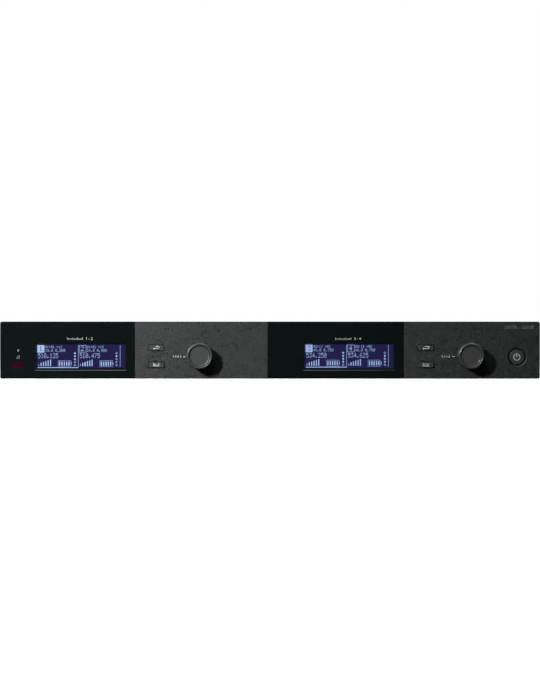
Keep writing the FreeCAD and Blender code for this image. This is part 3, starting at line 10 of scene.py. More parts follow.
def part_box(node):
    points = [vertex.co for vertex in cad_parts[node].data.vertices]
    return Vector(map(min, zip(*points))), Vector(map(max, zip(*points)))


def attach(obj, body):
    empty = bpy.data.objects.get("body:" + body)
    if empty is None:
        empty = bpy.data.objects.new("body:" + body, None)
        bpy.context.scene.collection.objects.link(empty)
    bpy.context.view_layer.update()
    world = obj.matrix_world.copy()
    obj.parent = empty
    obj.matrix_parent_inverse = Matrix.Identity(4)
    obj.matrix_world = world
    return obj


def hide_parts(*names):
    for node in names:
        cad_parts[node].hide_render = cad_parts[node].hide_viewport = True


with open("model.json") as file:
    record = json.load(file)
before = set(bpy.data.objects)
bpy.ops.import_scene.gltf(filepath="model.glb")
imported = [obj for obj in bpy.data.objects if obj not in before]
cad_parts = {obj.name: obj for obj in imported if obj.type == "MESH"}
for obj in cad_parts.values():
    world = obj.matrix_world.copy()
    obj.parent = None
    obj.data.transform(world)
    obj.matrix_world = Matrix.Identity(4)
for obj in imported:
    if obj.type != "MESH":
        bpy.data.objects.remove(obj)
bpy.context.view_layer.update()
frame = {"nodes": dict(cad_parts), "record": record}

bl_info = {
    "name": "Rack receiver looks",
    "version": (1, 0, 0),
    "blender": (4, 5, 0),
    "location": "3D View > Sidebar > Receiver",
    "description": "Pieces and finishes of a rack wireless receiver, around its packed frame",
    "category": "Object",
}

NODES = frame["nodes"]
BODY_OF = {node: body for body, nodes in frame["record"]["behaviour"]["bodies"].items() for node in nodes}
SIDES = ("left", "right")
FINISHES = {}
TO_FRONT = Matrix.Rotation(math.radians(90), 4, "X")
TO_REAR = Matrix.Rotation(math.radians(180), 4, "Z") @ TO_FRONT

# Places of the prints, in metres above the underside of the housing
WINDOW_NUMBERS_Z, TICK_FOOT_Z = 29.1e-3, 28.2e-3
PORT_DIAMOND_Z, PORT_CROSS_Z = 20.6e-3, 15.65e-3
CHEVRON_Z, DASH_LOW_Z, DASH_HIGH_Z = 16.25e-3, 15.9e-3, 16.4e-3
TOP_LINE_Z, SOCKET_AXIS_Z, SOCKET_LETTER_Z = 37.4e-3, 20.8e-3, 33.4e-3
CAPITAL_SHARE = 0.7  # height of a capital as a share of the font's size

# Rows of five dots for the characters of the displays, from top to bottom
DOTS = {
    "0": "0e11131519110e", "1": "040c040404040e", "2": "0e11010204081f", "3": "1f02040201110e",
    "4": "02060a121f0202", "5": "1f101e0101110e", "6": "0608101e11110e", "7": "1f010204080808",
    "8": "0e11110e11110e", "9": "0e11110f01020c", "-": "0000001f000000", "+": "0004041f040400",
    ".": "00000000000c0c", ":": "000c0c000c0c00", " ": "00000000000000",
}


# Sizes and colours that can be changed


def length(name, text, millimetres):
    return FloatProperty(name=name, description=text, default=millimetres * 0.001,
                         subtype="DISTANCE", unit="LENGTH", precision=5)


def colour(name, text, red, green, blue):
    return FloatVectorProperty(name=name, description=text, default=(red, green, blue),
                               subtype="COLOR", size=3, min=0, max=1)


def amount(name, text, number):
    return FloatProperty(name=name, description=text, default=number, min=0)


class ReceiverSizes(bpy.types.PropertyGroup):
    """Sizes of the pieces that are modelled here"""
    print_thick: length("Print", "Thickness of the printed marks", 0.03)
    dot_pitch: length("Dot pitch", "Distance between the dots of a display", 0.257)
    plate_round: length("Plate rounding", "Rounded edges of the glossy windows", 0.12)
    mouth_round: length("Mouth rounding", "Rounded lips of the display recesses", 0.45)
    key_width: length("Key width", "Cap of a key", 11.2)
    key_height: length("Key height", "Cap of a key", 3.9)
    key_corner: length("Key corner", "Corners of a key cap", 0.6)
    key_round: length("Key rounding", "Rounded front edges of a key cap", 0.25)
    flange_back: length("Flange back", "Back of the key flanges, behind the control face", 5.1)
    flange_thick: length("Flange", "Thickness of a key flange", 1)
    stem_radius: length("Stem radius", "Stem of a key", 1.6)
    power_radius: length("Power cap", "Radius of the power button's cap", 5.45)
    power_round: length("Power rounding", "Rounded front edge of the power button", 0.45)
    dish_radius: length("Dish radius", "Flat of a dial's dished face", 6.6)
    dish_depth: length("Dish depth", "Depth of a dial's dished face", 1.2)
    knob_wall: length("Dial wall", "Skirt of a dial", 1.5)
    knob_hollow: length("Dial hollow", "Hollow behind a dial's skirt", 9)
    knob_hub: length("Dial hub", "Radius of a dial's hub", 5)
    knob_bore: length("Dial bore", "Depth of the shaft's bore in a dial", 10)
    shaft_radius: length("Shaft radius", "Shaft of a dial", 3)


class ReceiverColours(bpy.types.PropertyGroup):
    """Colours of the finishes"""
    moulding: colour("Control fields", "Textured plastic of the control fields", 0.0132, 0.0155, 0.0155)
    gloss: colour("Windows", "Glossy plastic of the windows", 0.0028, 0.0048, 0.0047)
    picture: colour("Picture", "Unlit ground of a display", 0.0140, 0.0120, 0.063)
    marks: colour("Picture marks", "Lit dots of a display", 0.29, 0.39, 0.66)
    infrared: colour("Infrared window", "Dark red filter", 0.0145, 0.0015, 0.0045)
    keys: colour("Keys", "Key caps and power button", 0.026, 0.028, 0.028)
    dials: colour("Dials", "Dials", 0.030, 0.031, 0.031)
    print_white: colour("Print", "White print", 0.42, 0.43, 0.43)
    print_grey: colour("Faint print", "Grey print of the band and port marks", 0.11, 0.11, 0.11)
    steel: colour("Housing", "Powder-coated steel", 0.014, 0.0145, 0.015)
    nickel: colour("Nickel", "Nickel-plated sockets", 0.50, 0.48, 0.44)


class ReceiverStage(bpy.types.PropertyGroup):
    """Camera and lamps"""
    distance: length("Camera distance", "Camera to the control face", 4200)
    view_height: length("View height", "Height of the view at the control face", 509.5)
    key_power: amount("Key lamp", "Power of the main lamp in watts", 2.4)
    edge_power: amount("Edge lamp", "Power of the lamp above the front in watts", 8)
    top_power: amount("Top lamp", "Power of the lamp above in watts", 14)
    rear_power: amount("Rear lamp", "Power of the lamp behind in watts", 40)
    ambient: amount("Ambient", "Light that comes from above and behind", 0.5)


# Node trees


class Nodes:
    """Adds and joins the nodes of one material or effect"""

    def __init__(self, tree):
        self.tree = tree
        tree.nodes.clear()

    def add(self, kind, inputs=None, **settings):
        node = self.tree.nodes.new(kind)
        for name, value in settings.items():
            setattr(node, name, value)
        for key, value in (inputs or {}).items():
            if isinstance(value, bpy.types.NodeSocket):
                self.tree.links.new(value, node.inputs[key])
            else:
                node.inputs[key].default_value = value
        return node

    def math(self, operation, *values):
        return self.add("ShaderNodeMath", dict(enumerate(values)), operation=operation).outputs[0]

    def noise(self, place, scale, detail=2.0, roughness=0.5):
        return self.add("ShaderNodeTexNoise", {
            "Vector": place, "Scale": scale, "Detail": detail, "Roughness": roughness}).outputs["Fac"]

    def ramp(self, mask, low, high, start=0.0, end=1.0):
        """A mask that runs from start to end while its source goes from low to high."""
        return self.add("ShaderNodeMapRange", {
            "Value": mask, "From Min": low, "From Max": high, "To Min": start, "To Max": end,
        }).outputs["Result"]

    def blend(self, mask, first, second):
        node = self.add("ShaderNodeMix", {0: mask}, data_type="RGBA")
        for index, value in ((6, first), (7, second)):
            if isinstance(value, bpy.types.NodeSocket):
                self.tree.links.new(value, node.inputs[index])
            else:
                node.inputs[index].default_value = (*value, 1)
        return node.outputs[2]


def new_effect(name, takes, gives):
    """A group with named values in and out, and its input and output nodes."""
    tree = bpy.data.node_groups.new(name, "ShaderNodeTree")
    for label, default in takes.items():
        tree.interface.new_socket(
            name=label, in_out="INPUT", socket_type="NodeSocketFloat").default_value = default
    for label in gives:
        tree.interface.new_socket(name=label, in_out="OUTPUT", socket_type="NodeSocketFloat")
    nodes = Nodes(tree)
    taken = nodes.add("NodeGroupInput").outputs
    return nodes, taken, nodes.add("NodeGroupOutput").inputs


def object_place(nodes):
    return nodes.add("ShaderNodeTexCoord").outputs["Object"]


def build_effects():
    """The effects that several finishes share."""
    nodes, taken, given = new_effect("Grain", {"Scale": 2500, "Spread": 0.5}, ("Height", "Tone"))
    place = object_place(nodes)
    fine = nodes.noise(place, taken["Scale"], 2.5, 0.6)
    coarse = nodes.noise(place, nodes.math("MULTIPLY", taken["Scale"], 0.31), 1.5)
    mixed = nodes.math("ADD", nodes.math("MULTIPLY", fine, nodes.math(
        "SUBTRACT", 1.0, taken["Spread"])), nodes.math("MULTIPLY", coarse, taken["Spread"]))
    nodes.tree.links.new(mixed, given["Height"])
    nodes.tree.links.new(nodes.ramp(mixed, 0.3, 0.7), given["Tone"])

    nodes, taken, given = new_effect("Handling", {"Scale": 25, "Amount": 0.5}, ("Mask",))
    cloud = nodes.noise(object_place(nodes), taken["Scale"], 4.0, 0.62)
    mask = nodes.math("MULTIPLY", nodes.ramp(cloud, 0.42, 0.68), taken["Amount"])
    nodes.tree.links.new(mask, given["Mask"])

    nodes, taken, given = new_effect(
        "Brushing", {"Scale X": 400, "Scale Y": 8000, "Scale Z": 8000}, ("Height",))
    stretch = nodes.add("ShaderNodeCombineXYZ", {
        axis: taken[f"Scale {axis}"] for axis in "XYZ"}).outputs[0]
    streaks = nodes.add("ShaderNodeVectorMath", {0: object_place(nodes), 1: stretch},
                        operation="MULTIPLY").outputs[0]
    nodes.tree.links.new(nodes.noise(streaks, 1.0, 2.0, 0.6), given["Height"])

    nodes, taken, given = new_effect(
        "Bands", {"Pitch": 0.001, "X": 1, "Y": 0, "Z": 0, "Width": 0.5}, ("Mask",))
    across = nodes.add("ShaderNodeCombineXYZ", {axis: taken[axis] for axis in "XYZ"}).outputs[0]
    along = nodes.add("ShaderNodeVectorMath", {0: object_place(nodes), 1: across},
                      operation="DOT_PRODUCT").outputs["Value"]
    phase = nodes.math("FRACT", nodes.math("DIVIDE", along, taken["Pitch"]))
    nodes.tree.links.new(nodes.math("LESS_THAN", phase, taken["Width"]), given["Mask"])


def effect(nodes, name, **values):
    """Places one of the shared effects, with its own values, in a material."""
    node = nodes.add("ShaderNodeGroup", node_tree=bpy.data.node_groups[name])
    for label, value in values.items():
        node.inputs[label.replace("_", " ")].default_value = value
    return node.outputs


def finish(name, base, rough, metallic=0.0, tone=0.12, grain=2500, depth=0.00002, spread=0.5,
           coat=0.0, specular=0.5, brush=None, bands=None, handling=(25, 0.5), speckle=0.2,
           glow=None):
    """A material: its colour varies by tone, its roughness runs over the two values of rough.

    brush is the scale along X, Y and Z and a depth. bands is a pitch, an axis, a width and
    the bands' colour. handling is the scale of the smudges and how strong they are. speckle
    is how much the grain varies the roughness.
    """
    material = FINISHES[name] = bpy.data.materials.new(f"{name}_finish")
    material.use_nodes = True
    nodes = Nodes(material.node_tree)
    grains = effect(nodes, "Grain", Scale=grain, Spread=spread)
    smudges = effect(nodes, "Handling", Scale=handling[0], Amount=handling[1])["Mask"]
    dark = [channel * (1 - tone) for channel in base]
    light = [min(channel * (1 + tone), 1) for channel in base]
    shade = nodes.blend(grains["Tone"], dark, light)
    if bands:
        pitch, axis, width, ink = bands
        lines = effect(nodes, "Bands", Pitch=pitch, Width=width,
                       **{letter: float(letter == axis) for letter in "XYZ"})["Mask"]
        shade = nodes.blend(lines, shade, ink)
    roughness = nodes.ramp(
        nodes.math("MULTIPLY_ADD", grains["Tone"], speckle, smudges), 0.0, 1.0, *rough)
    bump = nodes.add("ShaderNodeBump", {"Strength": 1.0, "Distance": depth, "Height": grains["Height"]})
    if brush:
        streaks = effect(nodes, "Brushing", Scale_X=brush[0], Scale_Y=brush[1], Scale_Z=brush[2])
        bump = nodes.add("ShaderNodeBump", {
            "Strength": 1.0, "Distance": brush[3], "Height": streaks["Height"],
            "Normal": bump.outputs["Normal"]})
    shader = nodes.add("ShaderNodeBsdfPrincipled", {
        "Base Color": shade, "Roughness": roughness, "Metallic": metallic,
        "Specular IOR Level": specular, "Coat Weight": coat, "Coat Roughness": 0.03,
        "Normal": bump.outputs["Normal"]})
    # glow is light the surface gives off: a display's real backlight, and on the infrared filter a
    # painted glow
    if glow:
        nodes.tree.links.new(nodes.blend(
            smudges, [channel * 0.86 for channel in glow], glow), shader.inputs["Emission Color"])
        shader.inputs["Emission Strength"].default_value = 1.0
    nodes.add("ShaderNodeOutputMaterial", {"Surface": shader.outputs["BSDF"]})
    return material


# Ways of making a mesh


def block(bm, low, high):
    """A box between two corners."""
    low, high = Vector(low), Vector(high)
    place = Matrix.Translation((low + high) / 2) @ Matrix.Diagonal((*(high - low), 1))
    return bmesh.ops.create_cube(bm, size=1, matrix=place)["verts"]


def rod(bm, x, z, radius, front, back, sides):
    """A round bar along Y, or a prism with few sides."""
    place = Matrix.Translation((x, (front + back) / 2, z)) @ TO_FRONT
    return bmesh.ops.create_cone(
        bm, cap_ends=True, segments=sides, radius1=radius, radius2=radius,
        depth=back - front, matrix=place)["verts"]


def edges_of(verts):
    return list({edge for vert in verts for edge in vert.link_edges})


def round_off(bm, edges, offset, segments=3):
    return bmesh.ops.bevel(bm, geom=edges, affect="EDGES", offset=offset, segments=segments,
                           profile=0.5, material=-1, clamp_overlap=True)


def cushion_block(bm, low, high, corner, rounding):
    """A box with round corners about Y and a rounded front."""
    before = set(bm.verts)
    made = block(bm, low, high)
    upright = [edge for edge in edges_of(made)
               if abs(edge.verts[0].co.y - edge.verts[1].co.y) > 1e-7]
    round_off(bm, upright, corner, 6)
    fresh = [vert for vert in bm.verts if vert not in before]
    rim = [edge for edge in edges_of(fresh)
           if all(abs(vert.co.y - low[1]) < 1e-7 for vert in edge.verts)]
    round_off(bm, rim, rounding)


def turned(bm, outline, x, z, steps=160):
    """An outline of (radius, y) points, turned about an axis along Y."""
    points = [bm.verts.new((x + radius, y, z)) for radius, y in outline]
    lines = [bm.edges.new(pair) for pair in zip(points, points[1:])]
    bmesh.ops.spin(bm, geom=points + lines, cent=(x, 0, z), axis=(0, 1, 0), angle=math.tau,
                   steps=steps, use_merge=True)
    bmesh.ops.remove_doubles(bm, verts=bm.verts, dist=1e-6)
    bmesh.ops.recalc_face_normals(bm, faces=bm.faces)


def bend(path, radius, start, end, steps=7):
    """Leads a path of (radius, y) points on by an arc, whose slope runs from start to end."""
    x, y = path[-1]
    turn = math.copysign(radius, end - start)
    first, *slopes = (math.radians(start + (end - start) * step / steps) for step in range(steps + 1))
    path += [(x + turn * (math.sin(slope) - math.sin(first)),
              y - turn * (math.cos(first) - math.cos(slope))) for slope in slopes]


def around(x, z, radius, start=0, sweep=360, steps=40):
    """Points on a circle. Angles go round from the top, to the right as seen from the front."""
    angles = [math.radians(start + sweep * step / steps) for step in range(steps + (sweep < 360))]
    return [(x + radius * math.sin(a), z + radius * math.cos(a)) for a in angles]


def plate(bm, outline, front, back):
    """A flat plate with an outline of (x, z) points, in order."""
    near, far = ([bm.verts.new((x, y, z)) for x, z in outline] for y in (front, back))
    for cap in (near, far):
        bm.faces.new(cap)
    for here, there in zip(range(len(near)), (*range(1, len(near)), 0)):
        bm.faces.new((near[here], near[there], far[there], far[here]))
    return near + far


def ring(bm, outer, inner, front, back):
    """A flat ring between two outlines of as many points."""
    loops = [[bm.verts.new((x, y, z)) for x, z in outline]
             for outline, y in ((outer, front), (inner, front), (inner, back), (outer, back))]
    count = len(outer)
    for first, second in zip(loops, loops[1:] + loops[:1]):
        for here in range(count):
            there = (here + 1) % count
            bm.faces.new((first[here], first[there], second[there], second[here]))


def arc(bm, x, z, radius, stroke, front, back, start, sweep):
    """A part of a flat ring."""
    outer, inner = (around(x, z, radius + side * stroke / 2, start, sweep) for side in (1, -1))
    plate(bm, outer + inner[::-1], front, back)


def arrow(x, z, reach, pointing, shaft, head):
    """The outline of a straight arrow with its tip at x, pointing right (1) or left (-1)."""
    half, foot = shaft / 2, x - pointing * head * 1.15
    return [(x, z), (foot, z + head), (foot, z + half), (x - pointing * reach, z + half),
            (x - pointing * reach, z - half), (foot, z - half), (foot, z - head)]


def chevron(x, z, reach, stroke):
    """The outline of an angle that points right, with its tip at x."""
    return [(x, z), (x - reach, z + reach), (x - reach - stroke, z + reach), (x - stroke, z),
            (x - reach - stroke, z - reach), (x - reach, z - reach)]


def lettering(bm, text, x, z, height, face, thick, rear=False):
    """Flat characters of a height on the face, the right way round from the front or the rear."""
    curve = bpy.data.curves.new("lettering", "FONT")
    curve.body, curve.align_x, curve.align_y = text, "CENTER", "CENTER"
    curve.resolution_u = 3
    curve.extrude = 0.5
    writer = bpy.data.objects.new("lettering", curve)
    bpy.context.scene.collection.objects.link(writer)
    bpy.context.view_layer.update()
    mesh = bpy.data.meshes.new_from_object(writer.evaluated_get(bpy.context.evaluated_depsgraph_get()))
    bpy.data.objects.remove(writer)
    bpy.data.curves.remove(curve)
    size = height / CAPITAL_SHARE
    flat = Matrix.Diagonal((size, size, thick, 1))
    mesh.transform(Matrix.Translation((x, face, z)) @ (TO_REAR if rear else TO_FRONT) @ flat)
    bm.from_mesh(mesh)
    bpy.data.meshes.remove(mesh)


def show(name, bm, material, body, replaced=(), angle=35):
    """Turns a mesh into a piece that rides on a body, with smooth faces and sharp edges."""
    bmesh.ops.recalc_face_normals(bm, faces=bm.faces)
    for face in bm.faces:
        face.smooth = True
    mesh = bpy.data.meshes.new(name)
    bm.to_mesh(mesh)
    bm.free()
    mesh.set_sharp_from_angle(angle=math.radians(angle))
    for used in material if isinstance(material, (list, tuple)) else [material]:
        mesh.materials.append(used)
    piece = bpy.data.objects.new(name, mesh)
    bpy.context.scene.collection.objects.link(piece)
    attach(piece, body)
    if replaced:
        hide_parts(*replaced)
    level = piece.modifiers.new("level_faces", "WEIGHTED_NORMAL")
    level.keep_sharp = True
    return piece


def dress(material, *nodes):
    """Gives CAD nodes a finish."""
    for node in nodes:
        used = NODES[node].data.materials
        used.clear()
        used.append(material)


def soften(node, rounding, material, mouth):
    """A merged copy of a CAD plate with rounded edges, in its place. Mouth is for its recess."""
    bm = bmesh.new()
    bm.from_mesh(NODES[node].data)
    bmesh.ops.remove_doubles(bm, verts=bm.verts, dist=1e-6)
    bmesh.ops.dissolve_limit(bm, angle_limit=math.radians(0.5), verts=bm.verts, edges=bm.edges)
    sharp = [edge for edge in bm.edges if len(edge.link_faces) == 2
             and edge.calc_face_angle_signed() > math.radians(30)]
    low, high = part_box(node)
    lip = [edge for edge in sharp if edge.calc_length() > 0.015
           and all(vert.co.y - low.y < 1e-6 and low.z + 0.001 < vert.co.z < high.z - 0.001
                   and low.x + 0.003 < vert.co.x < high.x - 0.003 for vert in edge.verts)]
    round_off(bm, [edge for edge in sharp if edge not in lip], rounding, 2)
    round_off(bm, [edge for edge in lip if edge.is_valid], mouth, 8)
    return show(f"{node}_soft", bm, material, BODY_OF[node], [node], 9)


def middle(node):
    low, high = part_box(node)
    return (low + high) / 2


# One operator for each group of pieces


class RECEIVER_OT_stage(bpy.types.Operator):
    """Sets up the camera, the pale floor and the lamps"""
    bl_idname = "receiver.stage"
    bl_label = "Stage"

    def execute(self, context):
        stage = context.scene.receiver_stage
        context.scene.view_settings.view_transform = "Standard"
        low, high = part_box("front_panel")
        face = Vector((0, low.y, (low.z + high.z) / 2 + 0.0001))
        camera = bpy.data.objects.new("Camera", bpy.data.cameras.new("Camera"))
        camera.location = face - Vector((0, stage.distance, 0))
        camera.rotation_euler = (math.radians(90), 0, 0)
        camera.data.lens = camera.data.sensor_width * stage.distance / stage.view_height
        camera.data.clip_start, camera.data.clip_end = 0.01, 50
        context.scene.collection.objects.link(camera)
        context.scene.camera = camera
        for name, spot, target, size, power, beam in (
            ("key_lamp", (-0.915, -1.76, 0.667), face - Vector((0.2, 0, 0)), 0.16, stage.key_power, 34),
            ("edge_lamp", (-0.3, -1.5, 1.25), face, 0.8, stage.edge_power, 180),
            ("top_lamp", (0.3, 0.25, 1.6), Vector((0, 0, 0)), 0.7, stage.top_power, 180),
            ("rear_lamp", (1.1, 1.9, 1.3), Vector((0, 0.1, 0)), 1.2, stage.rear_power, 180),
        ):
            light = bpy.data.lights.new(name, "AREA")
            light.energy, light.size, light.spread = power, size, math.radians(beam)
            lamp = bpy.data.objects.new(name, light)
            lamp.location = spot
            lamp.rotation_euler = (target - Vector(spot)).to_track_quat("-Z", "Y").to_euler()
            context.scene.collection.objects.link(lamp)
        self.make_floor(context)
        self.make_world(context, stage)
        return {"FINISHED"}

    def make_floor(self, context):
        """A white floor that keeps the object's shadow, with a dim studio in front of it."""
        bm = bmesh.new()
        bmesh.ops.create_grid(bm, x_segments=1, y_segments=1, size=8)
        mesh = bpy.data.meshes.new("floor")
        bm.to_mesh(mesh)
        bm.free()
        material = bpy.data.materials.new("floor")
        material.use_nodes = True
        nodes = Nodes(material.node_tree)
        ray = nodes.add("ShaderNodeLightPath").outputs
        place = object_place(nodes)
        depth = nodes.add("ShaderNodeSeparateXYZ", {0: place}).outputs["Y"]
        speckle = nodes.blend(nodes.noise(place, 180.0), (0.78, 0.78, 0.78), (0.82, 0.82, 0.82))
        paint = nodes.add("ShaderNodeBsdfDiffuse", {
            "Color": nodes.blend(ray["Is Camera Ray"], (0.06, 0.06, 0.06), speckle)})
        away = nodes.add("ShaderNodeVectorMath", {0: place}, operation="LENGTH").outputs["Value"]
        glow = nodes.add("ShaderNodeEmission", {"Color": (1, 1, 1, 1), "Strength": nodes.math(
            "MULTIPLY", ray["Is Camera Ray"], nodes.ramp(away, 0.3, 1.2, 0.4, 1.0))})
        seen = nodes.add("ShaderNodeAddShader", {0: paint.outputs[0], 1: glow.outputs[0]})
        mirrored = nodes.add("ShaderNodeEmission", {
            "Color": (1, 1, 1, 1), "Strength": nodes.ramp(depth, -0.15, 0.3, 0.02, 1.0)})
        reflected = nodes.math("MAXIMUM", ray["Is Glossy Ray"], ray["Is Transmission Ray"])
        both = nodes.add("ShaderNodeMixShader", {
            0: reflected, 1: seen.outputs[0], 2: mirrored.outputs[0]})
        nodes.add("ShaderNodeOutputMaterial", {"Surface": both.outputs[0]})
        mesh.materials.append(material)
        floor = bpy.data.objects.new("floor", mesh)
        context.scene.collection.objects.link(floor)

    def make_world(self, context, stage):
        """White where the camera looks. The studio is dim in front of the object."""
        world = bpy.data.worlds.new("studio")
        world.use_nodes = True
        nodes = Nodes(world.node_tree)
        ray = nodes.add("ShaderNodeLightPath").outputs
        heading = nodes.add("ShaderNodeTexCoord").outputs["Generated"]
        depth = nodes.add("ShaderNodeSeparateXYZ", {0: heading}).outputs["Y"]
        mirrored = nodes.ramp(depth, -0.3, 0.6, 0.02, 1.0)
        lighting = nodes.ramp(depth, -0.3, 0.4, 0.0, stage.ambient)
        reflected = nodes.math("MAXIMUM", ray["Is Glossy Ray"], ray["Is Transmission Ray"])
        dim = nodes.add("ShaderNodeMix", {0: reflected, 2: lighting, 3: mirrored}).outputs[0]
        bright = nodes.add("ShaderNodeMix", {0: ray["Is Camera Ray"], 2: dim, 3: 1.0}).outputs[0]
        sky = nodes.add("ShaderNodeBackground", {"Color": (1, 1, 1, 1), "Strength": bright})
        nodes.add("ShaderNodeOutputWorld", {"Surface": sky.outputs[0]})
        context.scene.world = world


class RECEIVER_OT_front(bpy.types.Operator):
    """Finishes the front moulding, its windows and the infrared window"""
    bl_idname = "receiver.front"
    bl_label = "Front moulding"

    def execute(self, context):
        colours, sizes = context.scene.receiver_colours, context.scene.receiver_sizes
        dress(finish("control_field", colours.moulding, (0.26, 0.34), tone=0.9, grain=850,
                     depth=0.00014, spread=0.2, specular=0.8, handling=(12, 0.15), speckle=0.9),
              "front_panel")
        gloss = finish("window_gloss", colours.gloss, (0.05, 0.11), tone=0.1, grain=300,
                       depth=0.000002, handling=(18, 1.0))
        for side in SIDES:
            soften(f"window_{side}", sizes.plate_round, gloss, sizes.mouth_round)
        # The filter's faint red glow is painted light: it stands in for the lit inside behind the pane,
        # since the real filter gives off no visible light
        dress(finish("infrared_filter", colours.infrared, (0.08, 0.16), tone=0.45, grain=260,
                     depth=0.000004, coat=0.4, glow=(0.006, 0.0002, 0.002)), "ir_window")
        dress(finish("diode_plastic", (0.02, 0.02, 0.025), (0.1, 0.2), coat=0.5), "ir_diodes")
        return {"FINISHED"}


class RECEIVER_OT_displays(bpy.types.Operator):
    """Lights the two displays and draws their pictures of plain numbers and gauges"""
    bl_idname = "receiver.displays"
    bl_label = "Displays"

    # number, group, level, frequency and lit steps of the audio gauge of each receiver
    READOUTS = {
        "left": (("1", "01:01 +12", "24.0 0.800", "510.125", (0, 3)),
                 ("2", "01:02 +12", "24.0 0.800", "510.475", (1, 2))),
        "right": (("3", "02:11 +06", "48.0 0.750", "534.250", (0, 4)),
                  ("4", "02:12 +06", "48.0 0.750", "534.625", (1, 4))),
    }

    def execute(self, context):
        colours = context.scene.receiver_colours
        ground = finish("display_ground", (0.002, 0.002, 0.006), (0.08, 0.14), tone=0.1, grain=140,
                        depth=0.000002, handling=(45, 1.0), glow=colours.picture)
        marks = finish("display_marks", (0.05, 0.07, 0.12), (0.3, 0.4), tone=0.1, grain=200,
                       depth=0.000002, handling=(60, 1.0), glow=colours.marks)
        dress(finish("light_box", (0.5, 0.5, 0.52), (0.4, 0.6), grain=900), "display_frames")
        for side in SIDES:
            dress(ground, f"display_glass_{side}")
            self.picture(side, context.scene.receiver_sizes, [marks, ground])
        return {"FINISHED"}

    def picture(self, side, sizes, inks):
        low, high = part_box(f"display_glass_{side}")
        self.bm, self.pitch, self.front = bmesh.new(), sizes.dot_pitch, low.y - sizes.print_thick
        centre = (low + high) / 2
        offset = {"left": 35.2, "right": 36.5}[side]
        self.left, self.top = centre.x - 126.8 * self.pitch, centre.z + offset * self.pitch
        for half, readout in enumerate(self.READOUTS[side]):
            self.receiver(118 * half, readout, half == 0)
        self.bar(238, 4, 239, 65.5)
        show(f"display_picture_{side}", self.bm, inks, BODY_OF[f"display_glass_{side}"])

    def bar(self, left, top, right, bottom, ink=0):
        """One lit patch, in dots from the upper left corner of the display."""
        front, back = (-0.1, 0.1) if ink else (0, 0.3)
        verts = block(self.bm, (self.left + left * self.pitch, self.front + front * self.pitch,
                                self.top - bottom * self.pitch),
                      (self.left + right * self.pitch, self.front + back * self.pitch,
                       self.top - top * self.pitch))
        for face in {face for vert in verts for face in vert.link_faces}:
            face.material_index = ink

    def text(self, characters, left, top, wide=1.0, tall=1.0, ink=0):
        """Characters of five by seven dots, each wide and tall dots large."""
        for number, character in enumerate(characters):
            start = left + number * 5.9 * wide
            for row, bits in enumerate(bytes.fromhex(DOTS[character])):
                lit = [column for column in range(5) if bits >> (4 - column) & 1]
                runs = [column for column in lit if column - 1 not in lit]
                for first in runs:
                    last = first
                    while last + 1 in lit:
                        last += 1
                    self.bar(start + first * wide, top + row * tall,
                             start + (last + 0.8) * wide, top + (row + 0.8) * tall, ink)

    def outline(self, points, line):
        """A closed line of that width inside points, which go round the middle of a shape."""
        x, y = (sum(point[axis] for point in points) / len(points) for axis in (0, 1))
        inner = [(px - line * math.copysign(px != x, px - x), py - line * math.copysign(py != y, py - y))
                 for px, py in points]
        ring(self.bm, *([(self.left + px * self.pitch, self.top - py * self.pitch) for px, py in spots]
                        for spots in (points, inner)), self.front, self.front + self.pitch * 0.3)

    def frame(self, left, top, right, bottom, line=1):
        self.outline([(left, top), (right, top), (right, bottom), (left, bottom)], line)

    def receiver(self, x, readout, chosen):
        """One receiver's half of the picture. The chosen one has a filled number and an underline."""
        number, small, fine, large, lit = readout
        if chosen:
            self.bar(x + 4, 4, x + 23.8, 24.8)
            self.bar(x + 4.6, 66.3, x + 119.4, 68.5)
            self.bar(x + 119.6, 4, x + 120.6, 68.5)
        else:
            self.frame(x + 4.5, 4, x + 24.5, 24.5)
        self.text(number, x + 8.6, 7, 2, 2, int(chosen))
        self.text(small, x + 26, 5.4, 0.92, 1)
        self.text(fine, x + 26, 15, 0.98, 1.15)
        self.text(large, x + 6, 27.2, 1.42, 1.95)
        self.bar(x + 7.4, 57, x + 8.8, 63.4)
        for step in range(5):
            self.bar(x + 13.2 + step * 6.65, 53.6 - step * 2.2, x + 16.1 + step * 6.65, 63.4)
        self.frame(x + 62.6, 47.3, x + 99.2, 65, 0.7)
        self.bar(x + 99.5, 52.5, x + 101, 59.5)
        for cell in range(5):
            self.bar(x + 65.6 + cell * 6.6, 50.4, x + 68.9 + cell * 6.6, 62)
        for level in range(5):
            self.diamond(x + 110.4, 26.8 + level * 8.4, 3.3, lit[0] <= level < lit[1])

    def diamond(self, x, y, reach, filled):
        """A diamond of the audio gauge, as an outline or filled."""
        if filled:
            rod(self.bm, self.left + x * self.pitch, self.top - y * self.pitch, reach * self.pitch,
                self.front, self.front + self.pitch * 0.3, 4)
        else:
            self.outline([(x, y - reach), (x + reach, y), (x, y + reach), (x - reach, y)], 1.3)


